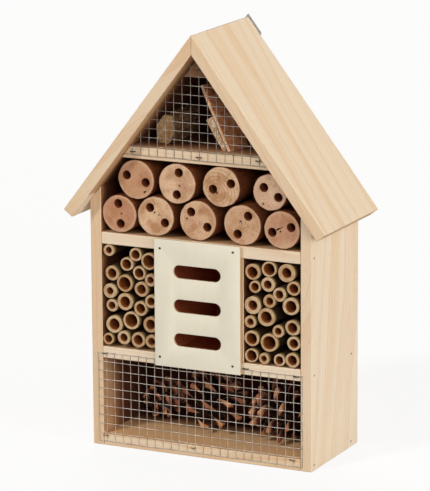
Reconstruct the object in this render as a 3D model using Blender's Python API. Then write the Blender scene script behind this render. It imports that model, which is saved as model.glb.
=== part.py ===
"""An insect hotel: a small pine house on three floors, filled with drilled logs, canes and pine cones.

Lengths are metres. X runs to the right, Y to the back, Z up. The origin is under the middle of the
whole object, on the surface that it stands on.
"""

import math

import bmesh
import bpy
import numpy as np
from mathutils import Matrix

MM = 0.001

# Driving dimensions: the carcass.
BOX_WIDTH = 245 * MM
BOX_DEPTH = 115 * MM
BOARD = 12 * MM
LOWER_SHELF_HEIGHT = 92.5 * MM
UPPER_SHELF_HEIGHT = 211.7 * MM
ATTIC_SHELF_HEIGHT = 302.6 * MM
WALL_HEIGHT = 255.9 * MM
BACK_THICKNESS = 4 * MM
GAP = 0.3 * MM
BOARD_EDGE = 0.5 * MM

# Driving dimensions: the roof. Its peak height is that of its underside.
ROOF_PEAK = 414.4 * MM
ROOF_OVERHANG = 16 * MM
EAVE_OVERHANG = 35.7 * MM
RIDGE_BLOCK_HEIGHT = 27 * MM
RIDGE_BLOCK_SETBACK = 8 * MM

# Driving dimensions: the butterfly chamber in the middle of the cane floor.
CHAMBER_CENTRE = 0.5 * MM
CHAMBER_WIDTH = 71.6 * MM
PANEL_CENTRE = -1 * MM
PANEL_WIDTH = 95 * MM
PANEL_THICKNESS = 3 * MM
SLOT_WIDTH = 52.6 * MM
SLOT_HEIGHT = 13.6 * MM
SLOT_COUNT = 3
TOP_SLOT_DROP = 19.8 * MM
BOTTOM_SLOT_RISE = 17.2 * MM
NAIL_INSET = 7.5 * MM
NAIL_HEAD = 3.2 * MM
NAIL_SHANK = 1.5 * MM
NAIL_LENGTH = 22 * MM
NAIL_HEAD_THICKNESS = 0.9 * MM

# Driving dimensions: the wire mesh. The hands that cut it to size pulled it a little out of square.
WIRE = 0.9 * MM
LOWER_MESH_COLUMN = 9.1 * MM
LOWER_MESH_ROW = 9.34 * MM
LOWER_MESH_SHIFT = -1.3 * MM
MESH_SIDE_INSET = 7.5 * MM
MESH_FOOT = 4.6 * MM
ATTIC_MESH_PITCH = 9.3 * MM
ATTIC_MESH_SHIFT = 1 * MM
ATTIC_MESH_LAP = 8 * MM

# Driving dimensions: the drilled logs.
LOG_SETBACK = 2 * MM
LOG_HOLE = 8.8 * MM
LOG_HOLE_DEPTH = 88 * MM

# Driving dimensions: the canes.
CANE_SEPTUM = 4 * MM
CANE_BACK_ROOM = 3 * MM
CANE_JOIN = 0.6 * MM

# Driving dimensions: the hanging plate on the back.
PLATE_THICKNESS = 1.2 * MM
PLATE_SIDE = 23 * MM
PLATE_FOOT_DROP = 23.9 * MM
PLATE_PROUD = 1.5 * MM
PLATE_HOLE = 6 * MM
PLATE_HOLE_RISE = 11 * MM
HOOK_ROOM = 12 * MM
SCREW_HEAD = 5 * MM
SCREW_SHANK = 2.4 * MM
SCREW_LENGTH = 14 * MM
SCREW_HEAD_HEIGHT = 1.3 * MM
SCREW_SLOPE = 20 * MM

# Driving dimensions: what lies in the attic.
BARK_FOOT = 27 * MM
BARK_LEAN = math.radians(25)
BARK_THICKNESS = 3.5 * MM
BARK_HEADROOM = 8 * MM
BARK_SETBACK = 16 * MM
BARK_DEPTH = 28 * MM
STICK_LENGTH = 37 * MM
STICK_THICKNESS = 5 * MM
STICK_TOP_THICKNESS = 10 * MM
STICK_SETBACK = 17 * MM
STICK_DEPTH = 10 * MM
CHUNK_SETBACK = 24 * MM
CHUNK_DEPTH = 60 * MM

# How many sides stand in for a circle.
LOG_SIDES = 24
CANE_SIDES = 14
CONE_SIDES = 14
HOLE_SIDES = 12
SMALL_SIDES = 10

# The front of the walls, and the planes that follow from the sizes above. What stands behind the
# back is the plate, its screws' heads and a gap under each.
BEHIND_BACK = PLATE_THICKNESS + SCREW_HEAD_HEIGHT + 2 * GAP
FRONT = (ROOF_OVERHANG - BOX_DEPTH - BEHIND_BACK) / 2
BACK = FRONT + BOX_DEPTH
BAY_BACK = BACK - BACK_THICKNESS - GAP
INNER_HALF = BOX_WIDTH / 2 - BOARD
UPPER_SHELF_TOP = UPPER_SHELF_HEIGHT + BOARD
ATTIC_SHELF_TOP = ATTIC_SHELF_HEIGHT + BOARD
PANEL_STANDOFF = WIRE + 2 * GAP
ROOF_PITCH = math.atan2(ROOF_PEAK - WALL_HEIGHT, BOX_WIDTH / 2)
ROOF_SLOPE = BOX_WIDTH / 2 / math.cos(ROOF_PITCH) + EAVE_OVERHANG
RIDGE_HEIGHT = ROOF_PEAK + BOARD / math.cos(ROOF_PITCH)
RIDGE_BLOCK_BOTTOM = ROOF_PEAK - RIDGE_BLOCK_HEIGHT
DOWN_SLOPE = np.array([math.cos(ROOF_PITCH), -math.sin(ROOF_PITCH)])
OUT_OF_ROOF = np.array([math.sin(ROOF_PITCH), math.cos(ROOF_PITCH)])

# The panel's nails: name, side, which shelf each one is driven into, and how far to the right and up
# the hand went astray, in millimetres.
PANEL_NAILS = (
    ("panel_nail_top_left", -1, "upper_shelf", -1.0, -3.5),
    ("panel_nail_top_right", 1, "upper_shelf", 0.0, 0.0),
    ("panel_nail_bottom_left", -1, "lower_shelf", -2.0, 3.4),
    ("panel_nail_bottom_right", 1, "lower_shelf", -1.0, 2.4),
)

# The logs: wanted centre and diameter of each in the loft, in millimetres from the loft's left corner
# and floor, then the angle of the line through its two holes, their distance apart, and how far to
# the right and up the middle between them lies from the log's own. The list is drawn for a loft of
# this width and height, and the logs grow and shrink with it.
LOFT_DRAWN = (221, 78.9)
LOGS = (
    (20, 20, 39.6, 97, 20.6, 0.0, 0.2),
    (61, 21, 41.6, 139, 21.8, 2.0, 1.4),
    (108, 21, 41.6, 142, 22.7, 1.5, 1.2),
    (157, 21, 41.6, 59, 22.2, 0.5, 0.0),
    (200, 20, 39.4, 18, 21.5, -0.3, 0.2),
    (40, 56, 41.4, 164, 22.0, 0.0, 0.8),
    (85, 57, 42.0, 84, 22.6, 0.7, 0.1),
    (134, 58, 42.0, 20, 21.0, 0.7, 0.5),
    (187, 57, 37.6, 151, 17.8, 1.2, 0.2),
)

# The canes, in bundles of those that lie together: wanted centre of each, in millimetres from the
# bay's left corner and floor, then its diameter and its bore. The lists are drawn for bays of these
# sizes, and the canes grow and shrink with the bay.
LEFT_BAY_DRAWN = (63, 107)
LEFT_CANES = (
    ((7.3, 8.3, 12.6, 7.4),),
    ((55.5, 10.6, 14.8, 7.2), (39.6, 10.4, 16.8, 9.4)),
    ((22.9, 11.3, 15.1, 7.6), (12.3, 25.5, 19.4, 10.8)),
    ((53.7, 27.8, 17.1, 9.4),),
    ((33.2, 30.4, 20.0, 12.6), (43.4, 43.4, 16.1, 9.2), (55.7, 52.1, 14.5, 7.5)),
    ((25.0, 50.3, 18.8, 10.3), (9.6, 43.1, 13.6, 7.0)),
    ((8.9, 59.0, 15.8, 6.9),),
    ((25.4, 69.6, 18.9, 12.2), (9.8, 77.8, 16.1, 9.0)),
    ((46.1, 62.4, 16.3, 8.9), (55.0, 74.2, 13.8, 6.3), (40.7, 79.6, 15.7, 9.0)),
    ((26.7, 89.1, 15.8, 9.3), (38.6, 99.2, 14.6, 8.5), (53.4, 91.7, 18.8, 12.0)),
    ((8.1, 100.6, 12.4, 6.1),),
)
RIGHT_BAY_DRAWN = (62, 107)
RIGHT_CANES = (
    ((8.3, 8.4, 15.8, 10.0), (22.6, 6.5, 12.4, 5.5)),
    ((52.7, 8.5, 16.2, 9.2), (37.0, 7.0, 13.0, 7.6)),
    ((9.0, 26.0, 17.2, 10.5),),
    ((28.1, 23.5, 19.8, 12.6), (37.4, 36.4, 13.2, 6.6)),
    ((54.3, 25.5, 15.3, 8.6), (52.6, 41.7, 17.6, 9.5)),
    ((6.9, 42.8, 13.2, 6.4),),
    ((9.9, 59.9, 18.6, 9.0), (26.0, 48.1, 19.2, 10.9)),
    ((27.9, 67.1, 14.2, 7.0), (40.7, 75.1, 14.9, 7.8), (52.2, 62.2, 18.9, 11.0)),
    ((26.0, 82.9, 15.6, 7.8), (27.4, 98.4, 16.7, 11.0)),
    ((12.4, 79.1, 13.2, 7.6), (9.4, 93.9, 18.0, 10.3)),
    ((54.2, 81.4, 15.3, 8.9), (46.7, 96.4, 19.2, 9.5)),
)

# The pine cones: place on the floor in millimetres from the middle of the floor's front edge, width,
# length, and the turn and tilt of the axis in degrees. A tilt of 90 stands the cone on its base. The
# list is drawn for a floor of this width, depth and headroom, and the cones grow and shrink with it.
CONE_FLOOR_DRAWN = (221, 110.7, 80.5)
CONES = {
    "pinecone_right": (71, 50, 62, 66, 20, 50),
    "pinecone_middle": (-16, 57, 60, 70, 200, 25),
    "pinecone_left": (-78, 78, 42, 52, 70, 10),
    "pinecone_back": (31, 88, 34, 44, 95, 8),
}

# The wood chunk's outline in millimetres from the attic's left corner, drawn for an attic of this
# half width and height.
ATTIC_DRAWN = (77.1, 99.8)
CHUNK = ((20, 0), (33, 0), (38, 12), (37, 29), (27, 30), (18, 18))


def remove_everything():
    for thing in list(bpy.data.objects):
        bpy.data.objects.remove(thing)


def linear(channel):
    """The linear value of an sRGB channel from 0 to 1."""
    return channel / 12.92 if channel <= 0.04045 else ((channel + 0.055) / 1.055) ** 2.4


def material(name, colour, roughness, metallic=0.0):
    made = bpy.data.materials.get(name)
    if made:
        return made
    made = bpy.data.materials.new(name)
    made.use_nodes = True
    channels = [linear(int(colour[i : i + 2], 16) / 255) for i in (0, 2, 4)]
    shader = made.node_tree.nodes["Principled BSDF"]
    shader.inputs["Base Color"].default_value = (*channels, 1)
    shader.inputs["Roughness"].default_value = roughness
    shader.inputs["Metallic"].default_value = metallic
    return made


def pine():
    return material("planed pine", "E8CFA4", 0.6)


def plywood():
    return material("birch plywood", "DCC296", 0.65)


def cream_paint():
    return material("cream paint on plywood", "F0EBD6", 0.45)


def zinc_wire():
    return material("galvanised wire", "B9BDBD", 0.4, 0.9)


def steel():
    return material("zinc plated steel", "A3A6A8", 0.35, 1.0)


def log_wood():
    return material("sawn log", "C99F78", 0.75)


def cane_wood():
    return material("cut cane", "D8B97C", 0.55)


def cone_scales():
    return material("pine cone", "8A5A36", 0.8)


def bark():
    return material("bark", "7A4E31", 0.85)


def split_wood():
    return material("split wood", "C9A878", 0.75)


def add_object(name, mesh_data, finish):
    """A named object in the scene with one material, made from a bmesh."""
    mesh = bpy.data.meshes.new(name)
    mesh_data.to_mesh(mesh)
    mesh_data.free()
    mesh.materials.append(finish)
    made = bpy.data.objects.new(name, mesh)
    bpy.context.scene.collection.objects.link(made)
    return made


def ease_edges(piece, width):
    bevel = piece.modifiers.new("eased edges", "BEVEL")
    bevel.width = width
    bevel.segments = 1
    bevel.limit_method = "ANGLE"
    bevel.angle_limit = math.radians(35)


def shade_round(piece):
    piece.data.shade_smooth()
    piece.data.set_sharp_from_angle(angle=math.radians(40))


def prism(name, outline, front, back, finish, edge=0.0):
    """A flat outline of (x, z) points, carried from the plane y = front to the plane y = back."""
    data = bmesh.new()
    near = [data.verts.new((x, front, z)) for x, z in outline]
    face = data.faces.new(near)
    carried = bmesh.ops.extrude_face_region(data, geom=[face])
    moved = [part for part in carried["geom"] if isinstance(part, bmesh.types.BMVert)]
    bmesh.ops.translate(data, vec=(0, back - front, 0), verts=moved)
    bmesh.ops.recalc_face_normals(data, faces=data.faces)
    piece = add_object(name, data, finish)
    if edge:
        ease_edges(piece, edge)
    return piece


def board(name, left, right, bottom, top, front, back, finish=None, edge=BOARD_EDGE):
    outline = ((left, bottom), (right, bottom), (right, top), (left, top))
    return prism(name, outline, front, back, finish or pine(), edge)


def ring(radius, sides):
    """Points of a circle about (0, 0), as an array of (x, z) rows."""
    angles = np.arange(sides) * 2 * math.pi / sides
    return np.column_stack([np.cos(angles), np.sin(angles)]) * radius


def rod(name, x, z, diameter, front, back, finish, sides=HOLE_SIDES):
    """A round bar along Y."""
    bar = prism(name, ring(diameter / 2, sides) + (x, z), front, back, finish)
    shade_round(bar)
    return bar


def subtract(piece, cutter):
    """Cuts the cutter's shape out of the piece, and keeps the cutter as a hidden helper."""
    cutter.hide_render = True
    cutter.display_type = "WIRE"
    cut = piece.modifiers.new("cut " + cutter.name, "BOOLEAN")
    cut.operation = "DIFFERENCE"
    cut.object = cutter
    return piece


def turned(name, stations, finish, sides=SMALL_SIDES):
    """A solid turned about the Z axis from (radius, z) stations, closed by a point at each end."""
    data = bmesh.new()
    rings = [
        [data.verts.new((x, y, z)) for x, y in ring(radius, sides)]
        for radius, z in stations[1:-1]
    ]
    bottom = data.verts.new((0, 0, stations[0][1]))
    top = data.verts.new((0, 0, stations[-1][1]))
    for i in range(sides):
        j = (i + 1) % sides
        data.faces.new((bottom, rings[0][j], rings[0][i]))
        data.faces.new((top, rings[-1][i], rings[-1][j]))
        for lower, upper in zip(rings, rings[1:]):
            data.faces.new((lower[i], lower[j], upper[j], upper[i]))
    bmesh.ops.recalc_face_normals(data, faces=data.faces)
    piece = add_object(name, data, finish)
    shade_round(piece)
    return piece


def roof_underside(x):
    """Height of the roof's underside at a distance x from the middle."""
    return ROOF_PEAK - abs(x) * math.tan(ROOF_PITCH)


def half_width_under_roof(z):
    """Distance from the middle to the roof's underside at a height z."""
    return (ROOF_PEAK - z) / math.tan(ROOF_PITCH)


def make_walls():
    drop = GAP / math.cos(ROOF_PITCH)
    for name, side in (("left_wall", -1), ("right_wall", 1)):
        outer = BOX_WIDTH / 2
        outline = (
            (side * outer, 0),
            (side * outer, roof_underside(outer) - drop),
            (side * INNER_HALF, roof_underside(INNER_HALF) - drop),
            (side * INNER_HALF, 0),
        )
        prism(name, outline, FRONT, BACK, pine(), BOARD_EDGE)


def make_floors():
    half = INNER_HALF - GAP
    heights = {
        "bottom_board": 0,
        "lower_shelf": LOWER_SHELF_HEIGHT,
        "upper_shelf": UPPER_SHELF_HEIGHT,
    }
    for name, z in heights.items():
        board(name, -half, half, z, z + BOARD, FRONT, BAY_BACK)
    low = half_width_under_roof(ATTIC_SHELF_HEIGHT) - GAP / math.sin(ROOF_PITCH)
    high = half_width_under_roof(ATTIC_SHELF_TOP) - GAP / math.sin(ROOF_PITCH)
    outline = (
        (-low, ATTIC_SHELF_HEIGHT),
        (low, ATTIC_SHELF_HEIGHT),
        (high, ATTIC_SHELF_TOP),
        (-high, ATTIC_SHELF_TOP),
    )
    prism("attic_shelf", outline, FRONT, BAY_BACK, pine(), BOARD_EDGE)


def make_roof():
    """Two boards that meet in an upright mitre at the ridge, with their eaves cut square."""
    seam = GAP / 2
    eave = np.array([0, RIDGE_HEIGHT]) + DOWN_SLOPE * ROOF_SLOPE
    under_eave = eave - OUT_OF_ROOF * BOARD
    slip = seam * math.tan(ROOF_PITCH)
    outline = np.array(
        [
            (seam, RIDGE_HEIGHT - slip),
            eave,
            under_eave,
            (seam, ROOF_PEAK - slip),
        ]
    )
    for name, side in (("roof_left", -1), ("roof_right", 1)):
        prism(name, outline * (side, 1), FRONT - ROOF_OVERHANG, BACK, pine(), BOARD_EDGE)


def make_ridge_block():
    """A three-sided strip under the ridge, which the roof boards are nailed to."""
    half = half_width_under_roof(RIDGE_BLOCK_BOTTOM) - GAP / math.sin(ROOF_PITCH)
    top = ROOF_PEAK - GAP / math.cos(ROOF_PITCH)
    outline = ((-half, RIDGE_BLOCK_BOTTOM), (half, RIDGE_BLOCK_BOTTOM), (0, top))
    prism("ridge_block", outline, FRONT + RIDGE_BLOCK_SETBACK, BAY_BACK, bark(), BOARD_EDGE)


def make_back():
    """A plywood back, let in between the walls and under the roof, with room for the wall hook."""
    half = INNER_HALF - GAP
    drop = GAP / math.cos(ROOF_PITCH)
    outline = (
        (-half, 0),
        (half, 0),
        (half, roof_underside(half) - drop),
        (0, ROOF_PEAK - drop),
        (-half, roof_underside(half) - drop),
    )
    back = prism("back_panel", outline, BACK - BACK_THICKNESS, BACK, plywood())
    hook_z = plate_foot() + PLATE_HOLE_RISE
    front = BACK - BACK_THICKNESS * 2
    room = rod("hook_room", 0, hook_z, HOOK_ROOM, front, BACK + BOARD, plywood())
    subtract(back, room)


def plate_foot():
    """The height of the hanging plate's foot, a set way below the inner peak of the roof."""
    return ROOF_PEAK - PLATE_FOOT_DROP


def make_hanging_plate():
    """A sheet steel plate shaped like a little house, just proud of the roof's two slopes."""
    top = RIDGE_HEIGHT + PLATE_PROUD / math.cos(ROOF_PITCH)
    shoulder = np.array([0, top]) + DOWN_SLOPE * PLATE_SIDE
    foot = plate_foot()
    outline = (
        (0, top),
        shoulder,
        (shoulder[0], foot),
        (-shoulder[0], foot),
        (-shoulder[0], shoulder[1]),
    )
    front = BACK + GAP
    back = front + PLATE_THICKNESS
    plate = prism("hanger_plate", outline, front, back, steel())
    cutter_ends = (BACK - BOARD, back + BOARD)
    hole_z = foot + PLATE_HOLE_RISE
    subtract(plate, rod("hanging_hole", 0, hole_z, PLATE_HOLE, *cutter_ends, steel()))
    middle_of_edge = np.array([0, RIDGE_HEIGHT]) - OUT_OF_ROOF * BOARD / 2
    screw_x, screw_z = middle_of_edge + DOWN_SLOPE * SCREW_SLOPE
    screw_clear = SCREW_SHANK + 2 * GAP
    for side, word in ((-1, "left"), (1, "right")):
        x = side * screw_x
        pilot_front = back - SCREW_LENGTH - GAP
        ends = (pilot_front, cutter_ends[1])
        pilot = rod(f"plate_pilot_{word}", x, screw_z, screw_clear, *ends, steel())
        subtract(plate, pilot)
        subtract(bpy.data.objects[f"roof_{word}"], pilot)
        profile = (
            (0, 0),
            (SCREW_SHANK / 2, 0),
            (SCREW_SHANK / 2, SCREW_LENGTH),
            (SCREW_HEAD / 2, SCREW_LENGTH),
            (SCREW_HEAD / 2, SCREW_LENGTH + SCREW_HEAD_HEIGHT / 2),
            (SCREW_HEAD / 3, SCREW_LENGTH + SCREW_HEAD_HEIGHT),
            (0, SCREW_LENGTH + SCREW_HEAD_HEIGHT),
        )
        screw = turned(f"hanger_screw_{word}", profile, steel())
        screw.rotation_euler = (math.radians(-90), 0, 0)
        screw.location = (x, back + GAP - SCREW_LENGTH, screw_z)


def chamber_sides():
    """The X of the chamber's left and right inner faces."""
    return CHAMBER_CENTRE - CHAMBER_WIDTH / 2, CHAMBER_CENTRE + CHAMBER_WIDTH / 2


def make_dividers():
    left, right = chamber_sides()
    bottom = LOWER_SHELF_HEIGHT + BOARD + GAP
    top = UPPER_SHELF_HEIGHT - GAP
    board("left_divider", left - BOARD, left, bottom, top, FRONT, BAY_BACK)
    board("right_divider", right, right + BOARD, bottom, top, FRONT, BAY_BACK)


def stadium(x, z, width, height, arc_steps):
    """An outline with two straight sides and two half-round ends."""
    radius = height / 2
    turn = np.linspace(-math.pi / 2, math.pi / 2, arc_steps)
    end = np.column_stack([np.cos(turn), np.sin(turn)]) * radius
    right = end + (x + width / 2 - radius, z)
    left = -end + (x - width / 2 + radius, z)
    return np.concatenate([right, left])


def make_front_panel():
    back = FRONT - PANEL_STANDOFF
    front = back - PANEL_THICKNESS
    left = PANEL_CENTRE - PANEL_WIDTH / 2
    right = PANEL_CENTRE + PANEL_WIDTH / 2
    top = UPPER_SHELF_TOP
    ends = (left, right, LOWER_SHELF_HEIGHT, top, front, back)
    panel = board("front_panel", *ends, cream_paint(), 0)
    past = (front - PANEL_THICKNESS, back + GAP * 2)
    top_slot = UPPER_SHELF_HEIGHT - TOP_SLOT_DROP
    bottom_slot = LOWER_SHELF_HEIGHT + BOARD + BOTTOM_SLOT_RISE
    for number, z in enumerate(np.linspace(top_slot, bottom_slot, SLOT_COUNT), 1):
        outline = stadium(PANEL_CENTRE, z, SLOT_WIDTH, SLOT_HEIGHT, 9)
        subtract(panel, prism(f"slot_{number}", outline, *past, cream_paint()))
    shelves = {"upper_shelf": UPPER_SHELF_HEIGHT, "lower_shelf": LOWER_SHELF_HEIGHT}
    for name, side, shelf, astray_x, astray_z in PANEL_NAILS:
        x = PANEL_CENTRE + side * (PANEL_WIDTH / 2 - NAIL_INSET) + astray_x * MM
        z = shelves[shelf] + BOARD / 2 + astray_z * MM
        tip = front - NAIL_HEAD_THICKNESS + NAIL_LENGTH
        clear = NAIL_SHANK + 2 * GAP
        pilot = rod(name + "_pilot", x, z, clear, front - BOARD, tip + GAP, steel())
        subtract(panel, pilot)
        subtract(bpy.data.objects[shelf], pilot)
        profile = (
            (0, 0),
            (NAIL_SHANK / 4, 0),
            (NAIL_SHANK / 2, NAIL_SHANK),
            (NAIL_SHANK / 2, NAIL_LENGTH - NAIL_HEAD_THICKNESS),
            (NAIL_HEAD / 2, NAIL_LENGTH - NAIL_HEAD_THICKNESS),
            (NAIL_HEAD / 2, NAIL_LENGTH - NAIL_HEAD_THICKNESS / 2),
            (NAIL_HEAD / 3, NAIL_LENGTH),
            (0, NAIL_LENGTH),
        )
        nail = turned(name, profile, steel())
        nail.rotation_euler = (math.radians(90), 0, 0)
        nail.location = (x, tip - GAP, z)


def make_lattice(name, xs, zs, kept):
    """Welded wire mesh in one layer: square bars round every kept cell of a grid, whose wires run at
    these distances from the middle and heights."""
    kept = np.pad(kept, 1)
    joints = kept[:-1, :-1] | kept[1:, :-1] | kept[:-1, 1:] | kept[1:, 1:]
    solid = np.zeros((2 * len(xs) - 1, 2 * len(zs) - 1), bool)
    solid[::2, ::2] = joints
    solid[1::2, ::2] = kept[1:-1, :-1] | kept[1:-1, 1:]
    solid[::2, 1::2] = kept[:-1, 1:-1] | kept[1:, 1:-1]
    bar_sides = np.array([-WIRE / 2, WIRE / 2])
    edges_x = np.add.outer(xs, bar_sides).ravel()
    edges_z = np.add.outer(zs, bar_sides).ravel()
    front = FRONT - GAP - WIRE
    data = bmesh.new()
    corners = {}

    def corner(i, j):
        if (i, j) not in corners:
            corners[i, j] = data.verts.new((edges_x[i], front, edges_z[j]))
        return corners[i, j]

    for i, j in zip(*np.nonzero(solid)):
        data.faces.new((corner(i, j), corner(i + 1, j), corner(i + 1, j + 1), corner(i, j + 1)))
    carried = bmesh.ops.extrude_face_region(data, geom=list(data.faces))
    moved = [part for part in carried["geom"] if isinstance(part, bmesh.types.BMVert)]
    bmesh.ops.translate(data, vec=(0, WIRE, 0), verts=moved)
    bmesh.ops.recalc_face_normals(data, faces=data.faces)
    return add_object(name, data, zinc_wire())


def make_lower_mesh():
    """The mesh over the cone floor, lapping onto the walls, the bottom board and the lower shelf."""
    columns = round((BOX_WIDTH - 2 * MESH_SIDE_INSET) / LOWER_MESH_COLUMN)
    rows = round((LOWER_SHELF_HEIGHT + BOARD / 2 - MESH_FOOT) / LOWER_MESH_ROW)
    xs = LOWER_MESH_SHIFT + (np.arange(columns + 1) - columns / 2) * LOWER_MESH_COLUMN
    zs = MESH_FOOT + np.arange(rows + 1) * LOWER_MESH_ROW
    make_lattice("lower_mesh", xs, zs, np.ones((columns, rows), bool))


def make_attic_mesh():
    """The mesh over the attic, cut in steps to fit under the roof and lapping onto the attic shelf."""
    bottom = ATTIC_SHELF_TOP - ATTIC_MESH_LAP
    half = math.ceil(half_width_under_roof(bottom) / ATTIC_MESH_PITCH)
    rows = math.ceil((ROOF_PEAK - bottom) / ATTIC_MESH_PITCH)
    xs = ATTIC_MESH_SHIFT + np.arange(-half, half + 1) * ATTIC_MESH_PITCH
    zs = bottom + np.arange(rows + 1) * ATTIC_MESH_PITCH
    reach = WIRE / 2 + GAP
    limit = half_width_under_roof(zs[1:] + reach) - reach
    furthest = np.maximum(np.abs(xs[:-1]), np.abs(xs[1:]))
    make_lattice("attic_mesh", xs, zs, furthest[:, None] < limit[None, :])


def touching_centres(first, second, wanted, radius):
    """Where a circle of this radius touches both supports or, where they are the same support, where
    it touches that one nearest the wanted centre. A support is ("line", normal, offset, clearance),
    for points p with p . normal = offset, or ("circle", centre, radius, clearance)."""

    def reach(support):
        return support[2] + radius + support[3]

    if first is second:
        if first[0] == "line":
            return [wanted + first[1] * (reach(first) - wanted @ first[1])]
        outwards = wanted - first[1]
        return [first[1] + outwards / math.hypot(*outwards) * reach(first)]
    if first[0] == "circle" and second[0] == "line":
        first, second = second, first
    if second[0] == "line":
        normals = np.array([first[1], second[1]])
        if abs(np.linalg.det(normals)) < 1e-6:
            return []
        return [np.linalg.solve(normals, [reach(first), reach(second)])]
    if first[0] == "line":
        normal = first[1]
        towards = reach(first) - second[1] @ normal
        start = second[1] + normal * towards
        square = reach(second) ** 2 - towards**2
    else:
        apart = second[1] - first[1]
        distance = math.hypot(*apart)
        normal = apart / distance
        share = (distance**2 + reach(first) ** 2 - reach(second) ** 2) / (2 * distance)
        start = first[1] + normal * share
        square = reach(first) ** 2 - share**2
    if square < 0:
        return []
    along = np.array([-normal[1], normal[0]]) * math.sqrt(square)
    return [start + along, start - along]


def clear_of(centre, radius, support):
    kind, where, size, clearance = support
    distance = centre @ where if kind == "line" else math.hypot(*(centre - where))
    return distance - size - radius - clearance > -1e-7


def fitted(groups, drawn, left, right, bottom, top):
    """Groups of (x, z, diameter, ...) drawn in millimetres for a bay of the drawn width and height,
    spread over the real bay. What follows x and z keeps to the side that has the less room."""
    across = (right - left) / drawn[0]
    up = (top - bottom) / drawn[1]
    size = min(across, up)
    return [
        [(left + x * across, bottom + z * up, *(d * size for d in diameters)) for x, z, *diameters in g]
        for g in groups
    ]


def settle(groups, walls):
    """Piles round things up in a space between straight walls. Each one goes to the place nearest its
    wanted centre where it touches a wall or a thing already there, and overlaps none. Within a group
    each one leans into the one before it, so that they can be joined."""
    walls = [("line", np.array(normal), offset, GAP) for normal, offset in walls]
    placed = []
    for group in groups:
        partner = None
        for x, z, diameter, *_ in group:
            radius = diameter / 2
            supports = walls + [("circle", centre, r, GAP) for centre, r in placed]
            if partner is not None:
                supports[-1] = ("circle", *placed[-1], -CANE_JOIN)
            wanted = np.array([x, z])
            first_supports = supports if partner is None else supports[-1:]
            places = [
                place
                for first in first_supports
                for second in supports
                for place in touching_centres(first, second, wanted, radius)
                if all(clear_of(place, radius, support) for support in supports)
            ]
            best = min(places, key=lambda place: math.hypot(*(place - wanted)))
            placed.append((best, radius))
            partner = best
    return placed


def make_logs():
    """Drilled logs in two layers between the upper shelf, the walls and the roof."""
    roof_offset = -ROOF_PEAK * OUT_OF_ROOF[1]
    walls = (
        ((1, 0), -INNER_HALF),
        ((-1, 0), -INNER_HALF),
        ((0, 1), UPPER_SHELF_TOP),
        ((0, -1), -ATTIC_SHELF_HEIGHT),
        (-OUT_OF_ROOF, roof_offset),
        (OUT_OF_ROOF * (1, -1), roof_offset),
    )
    groups = [(log[:3],) for log in LOGS]
    loft = (-INNER_HALF, INNER_HALF, UPPER_SHELF_TOP, ATTIC_SHELF_HEIGHT)
    front = FRONT + LOG_SETBACK
    for number, (drawn, (centre, radius)) in enumerate(
        zip(LOGS, settle(fitted(groups, LOFT_DRAWN, *loft), walls)), 1
    ):
        name = f"log_{number}"
        log = rod(name, *centre, 2 * radius, front, BAY_BACK - GAP, log_wood(), LOG_SIDES)
        _, _, diameter, angle, apart, *astray = drawn
        size = 2 * radius / diameter
        angle = math.radians(angle)
        towards_hole = np.array([math.cos(angle), math.sin(angle)]) * apart / 2 * size
        for hole, side in ((1, -1), (2, 1)):
            ends = (front - BOARD, front + LOG_HOLE_DEPTH)
            place = centre + side * towards_hole + np.array(astray) * size
            subtract(log, rod(f"{name}_hole_{hole}", *place, LOG_HOLE, *ends, log_wood()))


def tube(data, x, z, radius, bore_radius, front, back, sides):
    """Adds to a bmesh a tube along Y that is open in front and closed by a septum at the back."""
    outer = ring(radius, sides) + (x, z)
    inner = ring(bore_radius, sides) + (x, z)
    stations = ((outer, back), (outer, front), (inner, front), (inner, back - CANE_SEPTUM))
    loops = [[data.verts.new((px, y, pz)) for px, pz in points] for points, y in stations]
    for near, far in zip(loops, loops[1:]):
        for i in range(sides):
            j = (i + 1) % sides
            data.faces.new((near[i], near[j], far[j], far[i]))
    data.faces.new(loops[0])
    data.faces.new(reversed(loops[-1]))


def make_canes(side, groups, drawn, left, right):
    """A bay full of canes. Those that lie together in a bundle are joined into one piece."""
    bottom = LOWER_SHELF_HEIGHT + BOARD
    top = UPPER_SHELF_HEIGHT
    walls = (
        ((1, 0), left),
        ((-1, 0), -right),
        ((0, 1), bottom),
        ((0, -1), -top),
    )
    groups = fitted(groups, drawn, left, right, bottom, top)
    placed = iter(settle(groups, walls))
    for number, group in enumerate(groups, 1):
        name = f"canes_{side}_{number}"
        made = []
        for *_, bore in group:
            (x, z), radius = next(placed)
            data = bmesh.new()
            back = BAY_BACK - CANE_BACK_ROOM
            tube(data, x, z, radius, bore / 2, FRONT, back, CANE_SIDES)
            bmesh.ops.recalc_face_normals(data, faces=data.faces)
            made.append(add_object(f"{name}_{len(made)}" if made else name, data, cane_wood()))
            shade_round(made[-1])
        for cane in made[1:]:
            cane.hide_render = True
            cane.display_type = "WIRE"
            join = made[0].modifiers.new("join " + cane.name, "BOOLEAN")
            join.operation = "UNION"
            join.object = cane


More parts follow.
